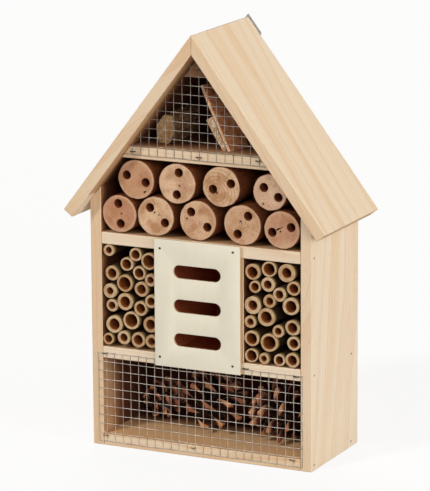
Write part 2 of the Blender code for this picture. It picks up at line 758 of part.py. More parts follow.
def make_cones():
    """Pine cones as plain turned solids: round at the base, tapering to a blunt tip."""
    width_drawn, depth_drawn, headroom_drawn = CONE_FLOOR_DRAWN
    across = 2 * INNER_HALF / MM / width_drawn
    deep = (BAY_BACK - FRONT) / MM / depth_drawn
    up = (LOWER_SHELF_HEIGHT - BOARD) / MM / headroom_drawn
    size = min(across, deep, up)
    steps = np.linspace(0, math.pi, 9)
    fullness = np.sin(steps) * (1 + 0.22 * np.cos(steps))
    for name, (x, depth, width, length, turn, tilt) in CONES.items():
        radii = fullness / fullness.max() * width / 2 * size * MM
        heights = -np.cos(steps) * length / 2 * size * MM
        cone = turned(name, list(zip(radii, heights)), cone_scales(), CONE_SIDES)
        tip_over = Matrix.Rotation(math.radians(90 - tilt), 4, "Y")
        cone.data.transform(Matrix.Rotation(math.radians(turn), 4, "Z") @ tip_over)
        lowest = min(vertex.co.z for vertex in cone.data.vertices)
        place = (x * across * MM, FRONT + depth * deep * MM, BOARD + GAP - lowest)
        cone.location = place


def leaning_outline(foot, length, thickness, lean, tip_thickness):
    """The outline of a flat piece that stands on the floor at its foot and leans to the left."""
    foot = np.array(foot)
    up = np.array([-math.sin(lean), math.cos(lean)])
    across = np.array([-math.cos(lean), -math.sin(lean)])
    heel = up * thickness * math.tan(lean)
    tip = foot + up * length
    return foot, tip, tip + across * tip_thickness, foot + across * thickness + heel


def make_attic_pieces():
    """A bark slab, a split stick that lies against it and a chunk of wood in the attic."""
    floor = ATTIC_SHELF_TOP + GAP
    half = half_width_under_roof(ATTIC_SHELF_TOP)
    across = half / MM / ATTIC_DRAWN[0]
    up = (ROOF_PEAK - ATTIC_SHELF_TOP) / MM / ATTIC_DRAWN[1]
    foot = (BARK_FOOT * across, floor)
    length = (RIDGE_BLOCK_BOTTOM - BARK_HEADROOM - floor) / math.cos(BARK_LEAN)
    slab = leaning_outline(foot, length, BARK_THICKNESS, BARK_LEAN, BARK_THICKNESS)
    slab_front = FRONT + BARK_SETBACK
    prism("bark_slab", slab, slab_front, slab_front + BARK_DEPTH, bark())
    beside = (foot[0] - (BARK_THICKNESS + GAP) / math.cos(BARK_LEAN), floor)
    wedge = (STICK_LENGTH * up, STICK_THICKNESS, BARK_LEAN, STICK_TOP_THICKNESS)
    stick_front = FRONT + STICK_SETBACK
    stick = leaning_outline(beside, *wedge)
    prism("split_stick", stick, stick_front, stick_front + STICK_DEPTH, split_wood())
    chunk = [(x * across * MM - half, floor + z * up * MM) for x, z in CHUNK]
    chunk_front = FRONT + CHUNK_SETBACK
    prism("wood_chunk", chunk, chunk_front, chunk_front + CHUNK_DEPTH, split_wood())


remove_everything()
make_walls()
make_floors()
make_roof()
make_ridge_block()
make_back()
make_hanging_plate()
make_dividers()
make_front_panel()
make_lower_mesh()
make_attic_mesh()
make_logs()
chamber_left, chamber_right = chamber_sides()
make_canes("left", LEFT_CANES, LEFT_BAY_DRAWN, -INNER_HALF, chamber_left - BOARD)
make_canes("right", RIGHT_CANES, RIGHT_BAY_DRAWN, chamber_right + BOARD, INNER_HALF)
make_cones()
make_attic_pieces()
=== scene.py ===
"""An insect hotel of planed pine: drilled logs, canes, a cream panel, pine cones and bark behind wire.

Shapes are in metres, X to the right, Y to the back and Z up. Patterns and sizes of detail are in
millimetres.
"""

import math

import bmesh
import bpy
import numpy as np
from mathutils import Euler, Matrix, Vector


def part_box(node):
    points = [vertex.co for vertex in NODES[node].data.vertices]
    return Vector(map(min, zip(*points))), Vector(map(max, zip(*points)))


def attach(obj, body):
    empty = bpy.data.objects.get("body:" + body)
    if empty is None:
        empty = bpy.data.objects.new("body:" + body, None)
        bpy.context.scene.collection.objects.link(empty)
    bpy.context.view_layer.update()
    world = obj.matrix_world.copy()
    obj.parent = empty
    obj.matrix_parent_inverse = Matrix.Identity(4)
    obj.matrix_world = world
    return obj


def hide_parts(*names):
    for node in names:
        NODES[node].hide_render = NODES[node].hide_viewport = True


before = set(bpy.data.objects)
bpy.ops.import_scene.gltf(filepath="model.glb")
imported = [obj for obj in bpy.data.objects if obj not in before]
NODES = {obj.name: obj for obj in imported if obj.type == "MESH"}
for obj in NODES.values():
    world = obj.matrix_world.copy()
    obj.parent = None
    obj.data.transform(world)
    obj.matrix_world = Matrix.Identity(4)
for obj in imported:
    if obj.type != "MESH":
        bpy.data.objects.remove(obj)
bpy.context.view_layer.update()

MM = 0.001
PER_METRE = 1000
BODY = "root"

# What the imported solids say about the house.
WALLS_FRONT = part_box("bottom_board")[0].y
SHELF_TOPS = {name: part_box(name)[1].z for name in ("bottom_board", "lower_shelf", "attic_shelf")}
INNER_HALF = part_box("right_wall")[0].x
BLOCK_LOW, BLOCK_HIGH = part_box("ridge_block")
ROOF_PITCH = math.atan2(BLOCK_HIGH.z - BLOCK_LOW.z, BLOCK_HIGH.x)
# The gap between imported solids, and how far from the middle the planes inside the dividers lie that
# part the chamber from the bays.
SOLID_GAP = 0.3 * MM
CHAMBER_HALF = 40 * MM
CHAMBER_LOW = SHELF_TOPS["lower_shelf"] - SOLID_GAP
CHAMBER_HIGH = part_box("upper_shelf")[0].z + SOLID_GAP
ROOF_UNDERSIDE = BLOCK_HIGH.z + SOLID_GAP / math.cos(ROOF_PITCH)

# Points nearer than MERGED become one, and edges shorter than SLIVER go. CREASE is in degrees.
MERGED = 1e-6
SLIVER = 1e-7
CREASE = 40

# ---- shapes


def ripple(places, period, seed, terms=7):
    """Smooth unevenness, about -1 to 1: a sum of sines that run in random directions over the places,
    with wavelengths round the period. Places and period share one unit."""
    rng = np.random.default_rng(seed)
    waves = rng.normal(size=(terms, places.shape[-1]))
    lengths = period * rng.uniform(0.6, 1.7, (terms, 1))
    waves *= 2 * math.pi / lengths / np.linalg.norm(waves, axis=1, keepdims=True)
    shifts = rng.uniform(0, 2 * math.pi, terms)
    return np.sin(places @ waves.T + shifts).sum(-1) / math.sqrt(2 * terms)


def lobes(angles, seed, first=2, last=6):
    """An outline's unevenness from 0 to 1: cosines of a few whole numbers of turns, with random
    shifts and with heights that fall with their number."""
    rng = np.random.default_rng(seed)
    turns = np.arange(first, last + 1)
    heights = rng.uniform(0.4, 1, len(turns)) / turns
    shifts = rng.uniform(0, 2 * math.pi, len(turns))
    waves = (np.cos(angles[..., None] * turns + shifts) * heights).sum(-1)
    return 0.5 + 0.5 * waves / heights.sum()


def smooth(values, low, high):
    """0 below low, 1 above high, and an S-shaped rise between."""
    share = np.clip((values - low) / (high - low), 0, 1)
    return share * share * (3 - 2 * share)


def grid_faces(rows, columns, wrap=True):
    """Quads over a grid of points that lie row after row. Wrapped, the last column joins the first."""
    row, column = np.mgrid[0 : rows - 1, 0 : columns - (0 if wrap else 1)]
    beside = (column + 1) % columns
    corners = (row * columns + column, row * columns + beside)
    above = (corners[1] + columns, corners[0] + columns)
    return np.stack(corners + above, -1).reshape(-1, 4)


def skin(points):
    """A grid of points, rows of closed rings, as a shape: (points, face arrays). The first and last
    rings are closed by one face each."""
    rows, columns, _ = points.shape
    ends = np.array([np.arange(columns), np.arange(columns) + (rows - 1) * columns])
    return points.reshape(-1, 3), [grid_faces(rows, columns), ends]


def together(shapes):
    """Several shapes as one."""
    starts = np.cumsum([0] + [len(points) for points, _ in shapes[:-1]])
    faces = [part + start for (_, parts), start in zip(shapes, starts) for part in parts]
    return np.concatenate([points for points, _ in shapes]), faces


def sweep(path, sections, up):
    """A closed section carried along a path: each section point is (side, rise) in a frame whose side
    is square to the path and to the up vector."""
    along = np.gradient(path, axis=0)
    along /= np.linalg.norm(along, axis=1, keepdims=True)
    side = np.cross(along, up)
    side /= np.linalg.norm(side, axis=1, keepdims=True)
    rise = np.cross(side, along)
    sections = np.broadcast_to(sections, (len(path), *np.shape(sections)[-2:]))
    placed = path[:, None] + side[:, None] * sections[..., :1] + rise[:, None] * sections[..., 1:]
    return skin(placed)


def circle(count):
    """Points of a circle of radius 1, one row each."""
    angles = np.arange(count) * 2 * math.pi / count
    return np.column_stack([np.cos(angles), np.sin(angles)])


def squarish(count, power):
    """Points of a square with sides 2 and rounded corners: a circle whose cosine and sine are raised
    to a power, 1 for round and near 0 for sharp."""
    ring = circle(count)
    return np.sign(ring) * np.abs(ring) ** power


def spread(*coordinates):
    """A grid of points from their coordinates, each of which may be given for one row or column."""
    return np.stack(np.broadcast_arrays(*coordinates), -1)


def prism(outline, front, back):
    """An outline of points (x, z), carried along Y from front to back."""
    return skin(spread(outline[:, 0], np.array([[front], [back]]), outline[:, 1]))


def new_object(name, shape, values=None):
    """An object from a shape, with its points' values as attributes. Points that meet are merged,
    slivers are removed and the faces turned outwards."""
    points, faces = shape
    mesh = bpy.data.meshes.new(name)
    mesh.from_pydata(points.tolist(), [], [face for part in faces for face in part.tolist()])
    for title, value in (values or {}).items():
        flat = np.asarray(value, np.float32)
        kind, field = ("FLOAT_VECTOR", "vector") if flat.ndim == 2 else ("FLOAT", "value")
        mesh.attributes.new(title, kind, "POINT").data.foreach_set(field, flat.ravel())
    work = bmesh.new()
    work.from_mesh(mesh)
    bmesh.ops.remove_doubles(work, verts=work.verts, dist=MERGED)
    bmesh.ops.dissolve_degenerate(work, edges=work.edges, dist=SLIVER)
    bmesh.ops.recalc_face_normals(work, faces=work.faces)
    work.to_mesh(mesh)
    work.free()
    made = bpy.data.objects.new(name, mesh)
    bpy.context.scene.collection.objects.link(made)
    return made


def shade(mesh, sharp):
    """Smooth faces, with creases where they meet at more than so many degrees."""
    mesh.shade_smooth()
    mesh.set_sharp_from_angle(angle=math.radians(sharp))


def add_piece(name, shape, finish, stands_for=(), values=None, sharp=CREASE):
    """A piece of the model from a shape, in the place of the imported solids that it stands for."""
    piece = new_object(name, shape, values)
    shade(piece.data, sharp)
    piece.data.materials.append(finish)
    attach(piece, BODY)
    if stands_for:
        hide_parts(*stands_for)
    return piece


def settle_modifiers(piece, sharp=CREASE):
    """Applies a piece's modifiers to its mesh."""
    bpy.context.view_layer.update()
    graph = bpy.context.evaluated_depsgraph_get()
    finished = bpy.data.meshes.new_from_object(piece.evaluated_get(graph))
    piece.modifiers.clear()
    piece.data = finished
    shade(finished, sharp)


def cut_away(piece, shape):
    """Cuts a closed shape out of a piece."""
    cutter = new_object("cutter", shape)
    cut = piece.modifiers.new("cut", "BOOLEAN")
    cut.operation = "DIFFERENCE"
    cut.solver = "EXACT"
    cut.object = cutter
    settle_modifiers(piece)
    bpy.data.objects.remove(cutter)


def turned(stations, centre, sides):
    """A shape turned about a line along Y: (radius, y) stations carried round the centre (x, z)."""
    radius, y = stations[:, :1], stations[:, 1:]
    cos, sin = circle(sides).T
    return skin(spread(centre[0] + radius * cos, y, centre[1] + radius * sin))


def middle_of(node):
    """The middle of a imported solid's box."""
    low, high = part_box(node)
    return (low + high) / 2


def solid_points(node, y=None):
    """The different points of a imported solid, or only those in one plane square to Y."""
    mesh = NODES[node].data
    points = np.empty(len(mesh.vertices) * 3, np.float32)
    mesh.vertices.foreach_get("co", points)
    points = np.unique(np.round(points.reshape(-1, 3).astype(float), 6), axis=0)
    if y is not None:
        points = points[np.abs(points[:, 1] - y) < 0.05 * MM]
    return points


def clusters(points, reach):
    """Groups of points that can be walked through in steps shorter than the reach."""
    near = np.linalg.norm(points[:, None] - points[None], axis=-1) < reach
    for _ in range(len(points).bit_length()):
        near = near.astype(int) @ near > 0
    return [points[row] for row in np.unique(near, axis=0)]


# ---- materials


def linear(colour):
    """The linear colour of an sRGB hex value."""
    channels = [int(colour[i : i + 2], 16) / 255 for i in (0, 2, 4)]
    curve = [c / 12.92 if c <= 0.04045 else ((c + 0.055) / 1.055) ** 2.4 for c in channels]
    return (*curve, 1.0)


def add(tree, kind, inputs=(), **settings):
    """Adds a shader node with its settings and its inputs, which are given by name or in the node's
    own order: share and two colours for a mix, the value and both ranges for Map Range. An input is a
    value, an sRGB hex colour, a node's output, or a node, whose first output is then used."""
    node = tree.nodes.new("ShaderNode" + kind)
    for title, value in settings.items():
        setattr(node, title, value)
    for title, value in inputs.items() if isinstance(inputs, dict) else enumerate(inputs):
        if isinstance(value, bpy.types.Node):
            value = value.outputs[0]
        if isinstance(value, bpy.types.NodeSocket):
            tree.links.new(value, node.inputs[title])
        else:
            node.inputs[title].default_value = linear(value) if isinstance(value, str) else value
    return node


def new_finish(name, roughness, specular=0.5, metallic=0.0):
    """A new material and its tree, with what is the same all over set on the shader itself."""
    made = bpy.data.materials.new(name)
    made.use_nodes = True
    shader = made.node_tree.nodes["Principled BSDF"]
    shader.inputs["Roughness"].default_value = roughness
    shader.inputs["Specular IOR Level"].default_value = specular
    shader.inputs["Metallic"].default_value = metallic
    return made, made.node_tree


def coat(made, colour, relief, strength, depth):
    """Gives a material its colour, and its relief as bump of a depth in metres."""
    tree = made.node_tree
    shader = tree.nodes["Principled BSDF"]
    tree.links.new(colour.outputs[0], shader.inputs["Base Color"])
    bump = add(tree, "Bump", {"Height": relief, "Strength": strength, "Distance": depth})
    tree.links.new(bump.outputs[0], shader.inputs["Normal"])
    return made


def own_place(tree, **placing):
    """The place on the house in millimetres, turned or moved as a Mapping node's inputs say."""
    spot = add(tree, "TexCoord").outputs["Object"]
    return add(tree, "Mapping", {"Vector": spot, "Scale": (PER_METRE,) * 3} | placing)


def per(*sizes):
    """The Mapping scale that makes a pattern's marks so many millimetres long on each axis."""
    return tuple(1 / size for size in sizes)


def laid(tree, base, *coats):
    """Several colours laid one over another on a base, each given as (share, colour)."""
    for share, colour in coats:
        base = add(tree, "MixRGB", (share, base, colour))
    return base


def squareness(tree):
    """1 where a surface faces straight to the front or the back, and 0 where it faces aside."""
    facing = add(tree, "SeparateXYZ", (add(tree, "NewGeometry").outputs["Normal"],))
    return add(tree, "Math", (facing.outputs["Y"],), operation="ABSOLUTE")


# The painted shade inside the butterfly chamber, in two russet tones.
RUSSET_SHADES = ("B45C3A", "C66C46")


def in_chamber(tree, spot):
    """1 inside the butterfly chamber, between the dividers and the two shelves, and 0 outside it."""
    aside = add(tree, "Math", (spot.outputs["X"],), operation="ABSOLUTE")
    within = add(tree, "Math", (aside, CHAMBER_HALF), operation="LESS_THAN")
    above = add(tree, "Math", (spot.outputs["Z"], CHAMBER_LOW), operation="GREATER_THAN")
    below = add(tree, "Math", (spot.outputs["Z"], CHAMBER_HIGH), operation="LESS_THAN")
    level = add(tree, "Math", (above, below), operation="MULTIPLY")
    return add(tree, "Math", (within, level), operation="MULTIPLY")


def growth_rings(tree, place, heart, seed, ring_width):
    """Cylinders round the tree's heart, a line along the grain at (across, out) millimetres, so they
    show as long flames on a flat face and as straight lines far from the heart. Gives the place as
    the wandering stem moves it, and 0 in the early wood to 1 in the late wood of each year."""
    # The stem is never straight: over a span of 200 mm the rings wander by a centimetre.
    stem = add(tree, "Mapping", {"Vector": place, "Scale": per(210, 75, 75), "Location": (seed, 0, 0)})
    wander = add(tree, "TexNoise", {"Vector": stem, "Scale": 1.0, "Detail": 1.5})
    reach = 26.0
    sway = (wander.outputs["Color"], (0, reach, reach), place)
    shifted = add(tree, "VectorMath", sway, operation="MULTIPLY_ADD")
    to_heart = (0, -heart[0] - reach / 2, -heart[1] - reach / 2)
    from_heart = add(tree, "VectorMath", (shifted, to_heart), operation="ADD")
    flat = add(tree, "VectorMath", (from_heart, (0, 1, 1)), operation="MULTIPLY")
    distance = add(tree, "VectorMath", (flat,), operation="LENGTH").outputs["Value"]
    # Good and bad years come in runs of about 20 mm.
    run = add(tree, "Math", (distance, 1 / 20), operation="MULTIPLY")
    years = add(tree, "TexNoise", {"W": run}, noise_dimensions="1D")
    uneven = add(tree, "Math", (years, ring_width * 0.9, distance), operation="MULTIPLY_ADD")
    age = add(tree, "Math", (uneven, 1 / ring_width), operation="MULTIPLY")
    year = add(tree, "Math", (age,), operation="FRACT")
    rise = add(tree, "MapRange", (year, 0.5, 0.93), interpolation_type="SMOOTHSTEP")
    fall = add(tree, "MapRange", (year, 1.0, 0.94), interpolation_type="SMOOTHSTEP")
    return shifted, add(tree, "Math", (rise, fall), operation="MULTIPLY")


def painted_inside_shade(tree, outside, facing, out, fibre, inside, lit_depths):
    """The wood of a board with painted shade on its faces inside the house: first a warm tone, then
    amber and dark brown further back, and russet in the butterfly chamber."""
    # Inside: between the walls, not on an outer face, and not on a front or back edge.
    spot = add(tree, "SeparateXYZ", (add(tree, "TexCoord").outputs["Object"],))
    aside = add(tree, "Math", (spot.outputs["X"],), operation="ABSOLUTE")
    between = add(tree, "Math", (aside, INNER_HALF + 6 * MM), operation="LESS_THAN")
    forward = add(tree, "Math", (facing.outputs["Y"],), operation="ABSOLUTE")
    on_face = add(tree, "Math", (forward, 0.5), operation="LESS_THAN")
    not_out = add(tree, "Math", (out, 0.5), operation="LESS_THAN")
    inner = add(tree, "Math", (between, on_face), operation="MULTIPLY")
    inner = add(tree, "Math", (inner, not_out), operation="MULTIPLY")
    shelf = SHELF_TOPS["lower_shelf"]
    low_depth, high_depth = (WALLS_FRONT + depth * MM for depth in lit_depths)
    levels = (spot.outputs["Z"], shelf - 8 * MM, shelf, low_depth, high_depth)
    starts = add(tree, "MapRange", levels)
    behind = add(tree, "Math", (spot.outputs["Y"], starts), operation="SUBTRACT")
    shallow_shade = add(tree, "MapRange", (behind, 0.0, 18 * MM, 0.0, 0.8), interpolation_type="SMOOTHSTEP")
    deep_shade = add(tree, "MapRange", (behind, 8 * MM, 34 * MM, 0.0, 0.92), interpolation_type="SMOOTHSTEP")
    russet = add(tree, "MixRGB", (fibre, *RUSSET_SHADES))
    # Painted shade: a warm tone on all inner faces, then amber and dark brown further back, and russet in
    # the chamber.
    painted_shades = [(0.75, inside), (shallow_shade, "9A6338"), (deep_shade, "4E2418"), (in_chamber(tree, spot), russet)]
    return add(tree, "MixRGB", (inner, outside, laid(tree, outside, *painted_shades)))


def pine_finish(name, centre, turn, outward, board):
    """Planed, unfinished pine: pale, with orange late wood in each growth ring, fine fibres and short
    resin pores. The turn about Y lays the grain along X."""
    heart, slant, seed, tint, ring_width, contrast, front, inside, lit_depths = board
    made, tree = new_finish(name, 0.58, 0.3)
    grain_turn = (0, turn, math.radians(slant))
    lie = Euler(grain_turn).to_matrix()
    place = own_place(tree, Rotation=grain_turn, Location=-(lie @ Vector(centre)) * PER_METRE)
    shifted, late = growth_rings(tree, place, heart, seed, ring_width)
    # Fibres under a millimetre wide, and broad bands of warmer heartwood.
    threads = add(tree, "Mapping", {"Vector": place, "Scale": per(34, 1.1, 1.1), "Location": (0, seed, 0)})
    fibre = add(tree, "TexNoise", {"Vector": threads, "Scale": 1.0, "Detail": 2.0, "Roughness": 0.6})
    bands = add(tree, "Mapping", {"Vector": shifted, "Scale": per(420, 26, 40), "Location": (0, 0, seed)})
    band = add(tree, "TexNoise", {"Vector": bands, "Scale": 1.0, "Detail": 1.0})
    warm = add(tree, "MapRange", (band, 0.45, 0.7, 0.0, 0.75), interpolation_type="SMOOTHSTEP")
    warmer = add(tree, "Math", (warm, tint), operation="ADD", use_clamp=True)
    late_share = add(tree, "Math", (late, contrast), operation="MULTIPLY")
    ringed = laid(tree, "EDDBC1", (warmer, "E7CDA9"), (late_share, "DFB187"))
    thread_tone = add(tree, "MapRange", (fibre, 0.3, 0.7, 0.972, 1.022))
    threaded = add(tree, "VectorMath", {0: ringed, "Scale": thread_tone}, operation="SCALE")
    # Short resin pores, thin dark dashes along the grain.
    shift = (seed, seed, 0)
    dashes = add(tree, "Mapping", {"Vector": place, "Scale": per(9, 0.8, 0.8), "Location": shift})
    pore = add(tree, "TexNoise", {"Vector": dashes, "Scale": 1.0, "Detail": 0.0})
    pores = add(tree, "MapRange", (pore, 0.72, 0.82, 0.0, 0.35))
    pored = add(tree, "MixRGB", (pores, threaded, "C79E72"))
    # Sawn ends drink more light than planed sides, and front edges get painted shade that makes them
    # a little darker and pinker.
    normal = add(tree, "NewGeometry").outputs["Normal"]
    grain = lie.inverted() @ Vector((1, 0, 0))
    along = add(tree, "VectorMath", (normal, grain), operation="DOT_PRODUCT").outputs["Value"]
    endwise = add(tree, "Math", (along,), operation="ABSOLUTE")
    ends = add(tree, "MapRange", (endwise, 0.6, 0.9))
    end_wood = add(tree, "MixRGB", (1.0, pored, "EBD9C6"), blend_type="MULTIPLY")
    sawn = add(tree, "MixRGB", (ends, pored, end_wood))
    facing = add(tree, "SeparateXYZ", (normal,))
    front_shade_share = add(tree, "MapRange", (facing.outputs["Y"], -0.6, -0.8, 0.0, front))
    front_shaded_wood = add(tree, "MixRGB", (1.0, sawn, "F3E3D1"), blend_type="MULTIPLY")
    front_shaded = add(tree, "MixRGB", (front_shade_share, sawn, front_shaded_wood))
    out = add(tree, "VectorMath", (normal, outward), operation="DOT_PRODUCT").outputs["Value"]
    # Faces inside the house get painted shade.
    colour = painted_inside_shade(tree, front_shaded, facing, out, fibre, inside, lit_depths)
    relief = add(tree, "Math", (fibre, 0.6, late), operation="MULTIPLY_ADD")
    return coat(made, colour, relief, 0.25, 0.1 * MM)


def plywood_finish():
    """Birch plywood, rotary cut: wide quiet flames of grain up the sheet and small dark flecks. The
    face towards the bays carries painted shade: dark brown, and russet in the butterfly chamber."""
    made, tree = new_finish("birch plywood, painted shade inside", 0.65, 0.2)
    place = own_place(tree)
    flames = add(tree, "Mapping", {"Vector": place, "Scale": per(22, 1, 160)})
    flame = add(tree, "TexNoise", {"Vector": flames, "Scale": 1.0, "Detail": 3.0, "Distortion": 1.2})
    threads = add(tree, "Mapping", {"Vector": place, "Scale": per(0.9, 1, 20)})
    thread = add(tree, "TexNoise", {"Vector": threads, "Scale": 1.0, "Detail": 1.0})
    fleck = add(tree, "MapRange", (thread, 0.62, 0.78, 0.0, 0.4))
    bare = laid(tree, "D2B58C", (flame, "EBD8B6"), (fleck, "AC885C"))
    russet = add(tree, "MixRGB", (thread, *RUSSET_SHADES))
    spot = add(tree, "SeparateXYZ", (add(tree, "TexCoord").outputs["Object"],))
    # Painted shade on the face towards the bays: dark brown, russet in the chamber.
    stain = laid(tree, "471F14", (flame, "6A3524"), (in_chamber(tree, spot), russet))
    facing = add(tree, "SeparateXYZ", (add(tree, "NewGeometry").outputs["Normal"],))
    inside = add(tree, "MapRange", (facing.outputs["Y"], -0.4, -0.6))
    colour = add(tree, "MixRGB", (inside, bare, stain))
    return coat(made, colour, thread, 0.3, 0.1 * MM)


def cream_finish():
    """Cream paint on thin plywood: satin, with the veneer's grain faintly raised under the coat. The
    sawn edges stay bare, in the tan of the core."""
    made, tree = new_finish("cream paint on thin plywood", 0.42)
    place = own_place(tree)
    veins = add(tree, "Mapping", {"Vector": place, "Scale": per(2.2, 1, 45)})
    vein = add(tree, "TexNoise", {"Vector": veins, "Scale": 1.0, "Detail": 3.0})
    cloud = add(tree, "TexNoise", {"Vector": place, "Scale": 1 / 28, "Detail": 1.0})
    share = add(tree, "Math", (vein, 0.55, cloud), operation="MULTIPLY_ADD")
    tone = add(tree, "MapRange", (share, 0.45, 1.1))
    specks = add(tree, "TexNoise", {"Vector": place, "Scale": 1 / 1.6, "Detail": 0.0})
    speck = add(tree, "MapRange", (specks, 0.74, 0.8, 0.0, 0.25))
    edge = add(tree, "MapRange", (squareness(tree), 0.55, 0.3))
    core = add(tree, "MixRGB", (vein, "BE9F78", "D9C19C"))
    colour = laid(tree, "EAE3CE", (tone, "EEE8D4"), (speck, "BFB193"), (edge, core))
    return coat(made, colour, vein, 0.12, 0.1 * MM)


def metal_finish(name, light, dark, roughness, mottle):
    """Zinc on steel: a dull metal, patchy where the coat is thick or has weathered. The patches are
    as many millimetres wide as the mottle says."""
    made, tree = new_finish(name, roughness, metallic=1.0)
    place = own_place(tree)
    patches = add(tree, "TexNoise", {"Vector": place, "Scale": 1 / mottle, "Detail": 2.0})
    share = add(tree, "MapRange", (patches, 0.35, 0.65))
    colour = add(tree, "MixRGB", (share, dark, light))
    return coat(made, colour, patches, 0.2, 0.1 * MM)


def log_finish(name, centre, radius, heart_facts, seed):
    """A sawn branch: pinkish tan end grain with fine rings round the pith, hair cracks that run out
    from it, blotches where it was damp, a paler rim that is partly sapwood and partly a painted
    highlight, brown weathered sides and dark brown bores."""
    pith, tone, blush, ring_strength = heart_facts
    made, tree = new_finish(name, 0.78, 0.2)
    middle = -Vector((centre[0], 0, centre[1])) * PER_METRE
    place = own_place(tree, Location=middle - Vector((pith[0], 0, pith[1])))
    from_middle = own_place(tree, Scale=(PER_METRE, 0, PER_METRE), Location=middle)
    out = add(tree, "VectorMath", (from_middle,), operation="LENGTH").outputs["Value"]
    edge = radius * PER_METRE
    # Rings round the pith, wider where they are strong, and the dark pith itself.
    flat = add(tree, "VectorMath", (place, (1, 0, 1)), operation="MULTIPLY")
    radial = add(tree, "VectorMath", (flat,), operation="LENGTH").outputs["Value"]
    wobble = add(tree, "TexNoise", {"Vector": place, "Scale": 1 / 9, "Detail": 2.0})
    uneven = add(tree, "Math", (wobble, 3.2, radial), operation="MULTIPLY_ADD")
    age = add(tree, "Math", (uneven, 1 / (1.9 + 2.6 * ring_strength)), operation="MULTIPLY")
    year = add(tree, "Math", (age,), operation="FRACT")
    ring = add(tree, "MapRange", (year, 0.3, 0.95), interpolation_type="SMOOTHSTEP")
    ring_share = add(tree, "Math", (ring, 0.16 + 0.5 * ring_strength), operation="MULTIPLY")
    pithy = add(tree, "MapRange", (radial, 1.5, 0.7))
    # Brown blotches, pink patches and darker damp spots.
    moved = add(tree, "Mapping", {"Vector": place, "Location": (seed * 7, 0, 0)})
    blotches = add(tree, "TexNoise", {"Vector": moved, "Scale": 1 / 15, "Detail": 3.0})
    blotch = add(tree, "MapRange", (blotches, 0.4, 0.66), interpolation_type="SMOOTHSTEP")
    pinks = add(tree, "TexNoise", {"Vector": place, "Scale": 1 / 11, "Detail": 2.0})
    pink = add(tree, "MapRange", (pinks, 0.35, 0.65, 0.0, blush), interpolation_type="SMOOTHSTEP")
    damp = add(tree, "TexNoise", {"Vector": place, "Scale": 1 / 4.2, "Detail": 3.0, "Roughness": 0.7})
    spots = add(tree, "MapRange", (damp, 0.56, 0.74, 0.0, 0.55))
    # Sapwood inside the rim, paler in part as a painted highlight on the edge, and the thin bark on it.
    sap_and_highlight = add(tree, "MapRange", (out, edge - 5, edge - 1.2, 0.0, 0.5), interpolation_type="SMOOTHSTEP")
    skinned = add(tree, "MapRange", (out, edge - 1.6, edge - 0.7, 0.0, 0.6))
    # Hair cracks: noise over the direction from the pith, nearly the same all the way out.
    direction = add(tree, "VectorMath", (flat,), operation="NORMALIZE")
    fan = add(tree, "VectorMath", (flat, (0.006,) * 3, direction), operation="MULTIPLY_ADD")
    crack = add(tree, "TexNoise", {"Vector": fan, "Scale": 9.0, "Detail": 2.0})
    cracks = add(tree, "MapRange", (crack, 0.66, 0.74, 0.0, 0.45))
    coats = [(blotch, "B98A62"), (pink, "D69C86"), (abs(tone), "B37A56" if tone > 0 else "F0D6B8")]
    coats += [(spots, "9C6A48"), (ring_share, "A87854"), (sap_and_highlight, "DDBB9C"), (skinned, "8A5A3A")]
    coats += [(cracks, "8A5C3C"), (pithy, "5A3822")]
    # The saw leaves a grit of light and dark.
    grit = add(tree, "TexNoise", {"Vector": place, "Scale": 1 / 1.3, "Detail": 2.0})
    speckle = add(tree, "MapRange", (grit, 0.25, 0.75, 0.88, 1.1))
    sawn = {0: laid(tree, "E2BE9A", *coats), "Scale": speckle}
    end_grain = add(tree, "VectorMath", sawn, operation="SCALE")
    # Round the outside and in the bores the surface faces sideways.
    sideways = add(tree, "MapRange", (squareness(tree), 0.75, 0.35))
    strips = own_place(tree, Scale=(420, 60, 420))
    strip = add(tree, "TexNoise", {"Vector": strips, "Scale": 1.0, "Detail": 4.0})
    flank = add(tree, "MixRGB", (strip, "582A14", "8C512C"))
    outside = add(tree, "MapRange", (out, edge - 4, edge - 2.5))
    side_wood = add(tree, "MixRGB", (outside, "6A3419", flank))
    colour = add(tree, "MixRGB", (sideways, end_grain, side_wood))
    relief = add(tree, "Math", (grit, 0.8, ring), operation="MULTIPLY_ADD")
    return coat(made, colour, relief, 0.5, 0.2 * MM)


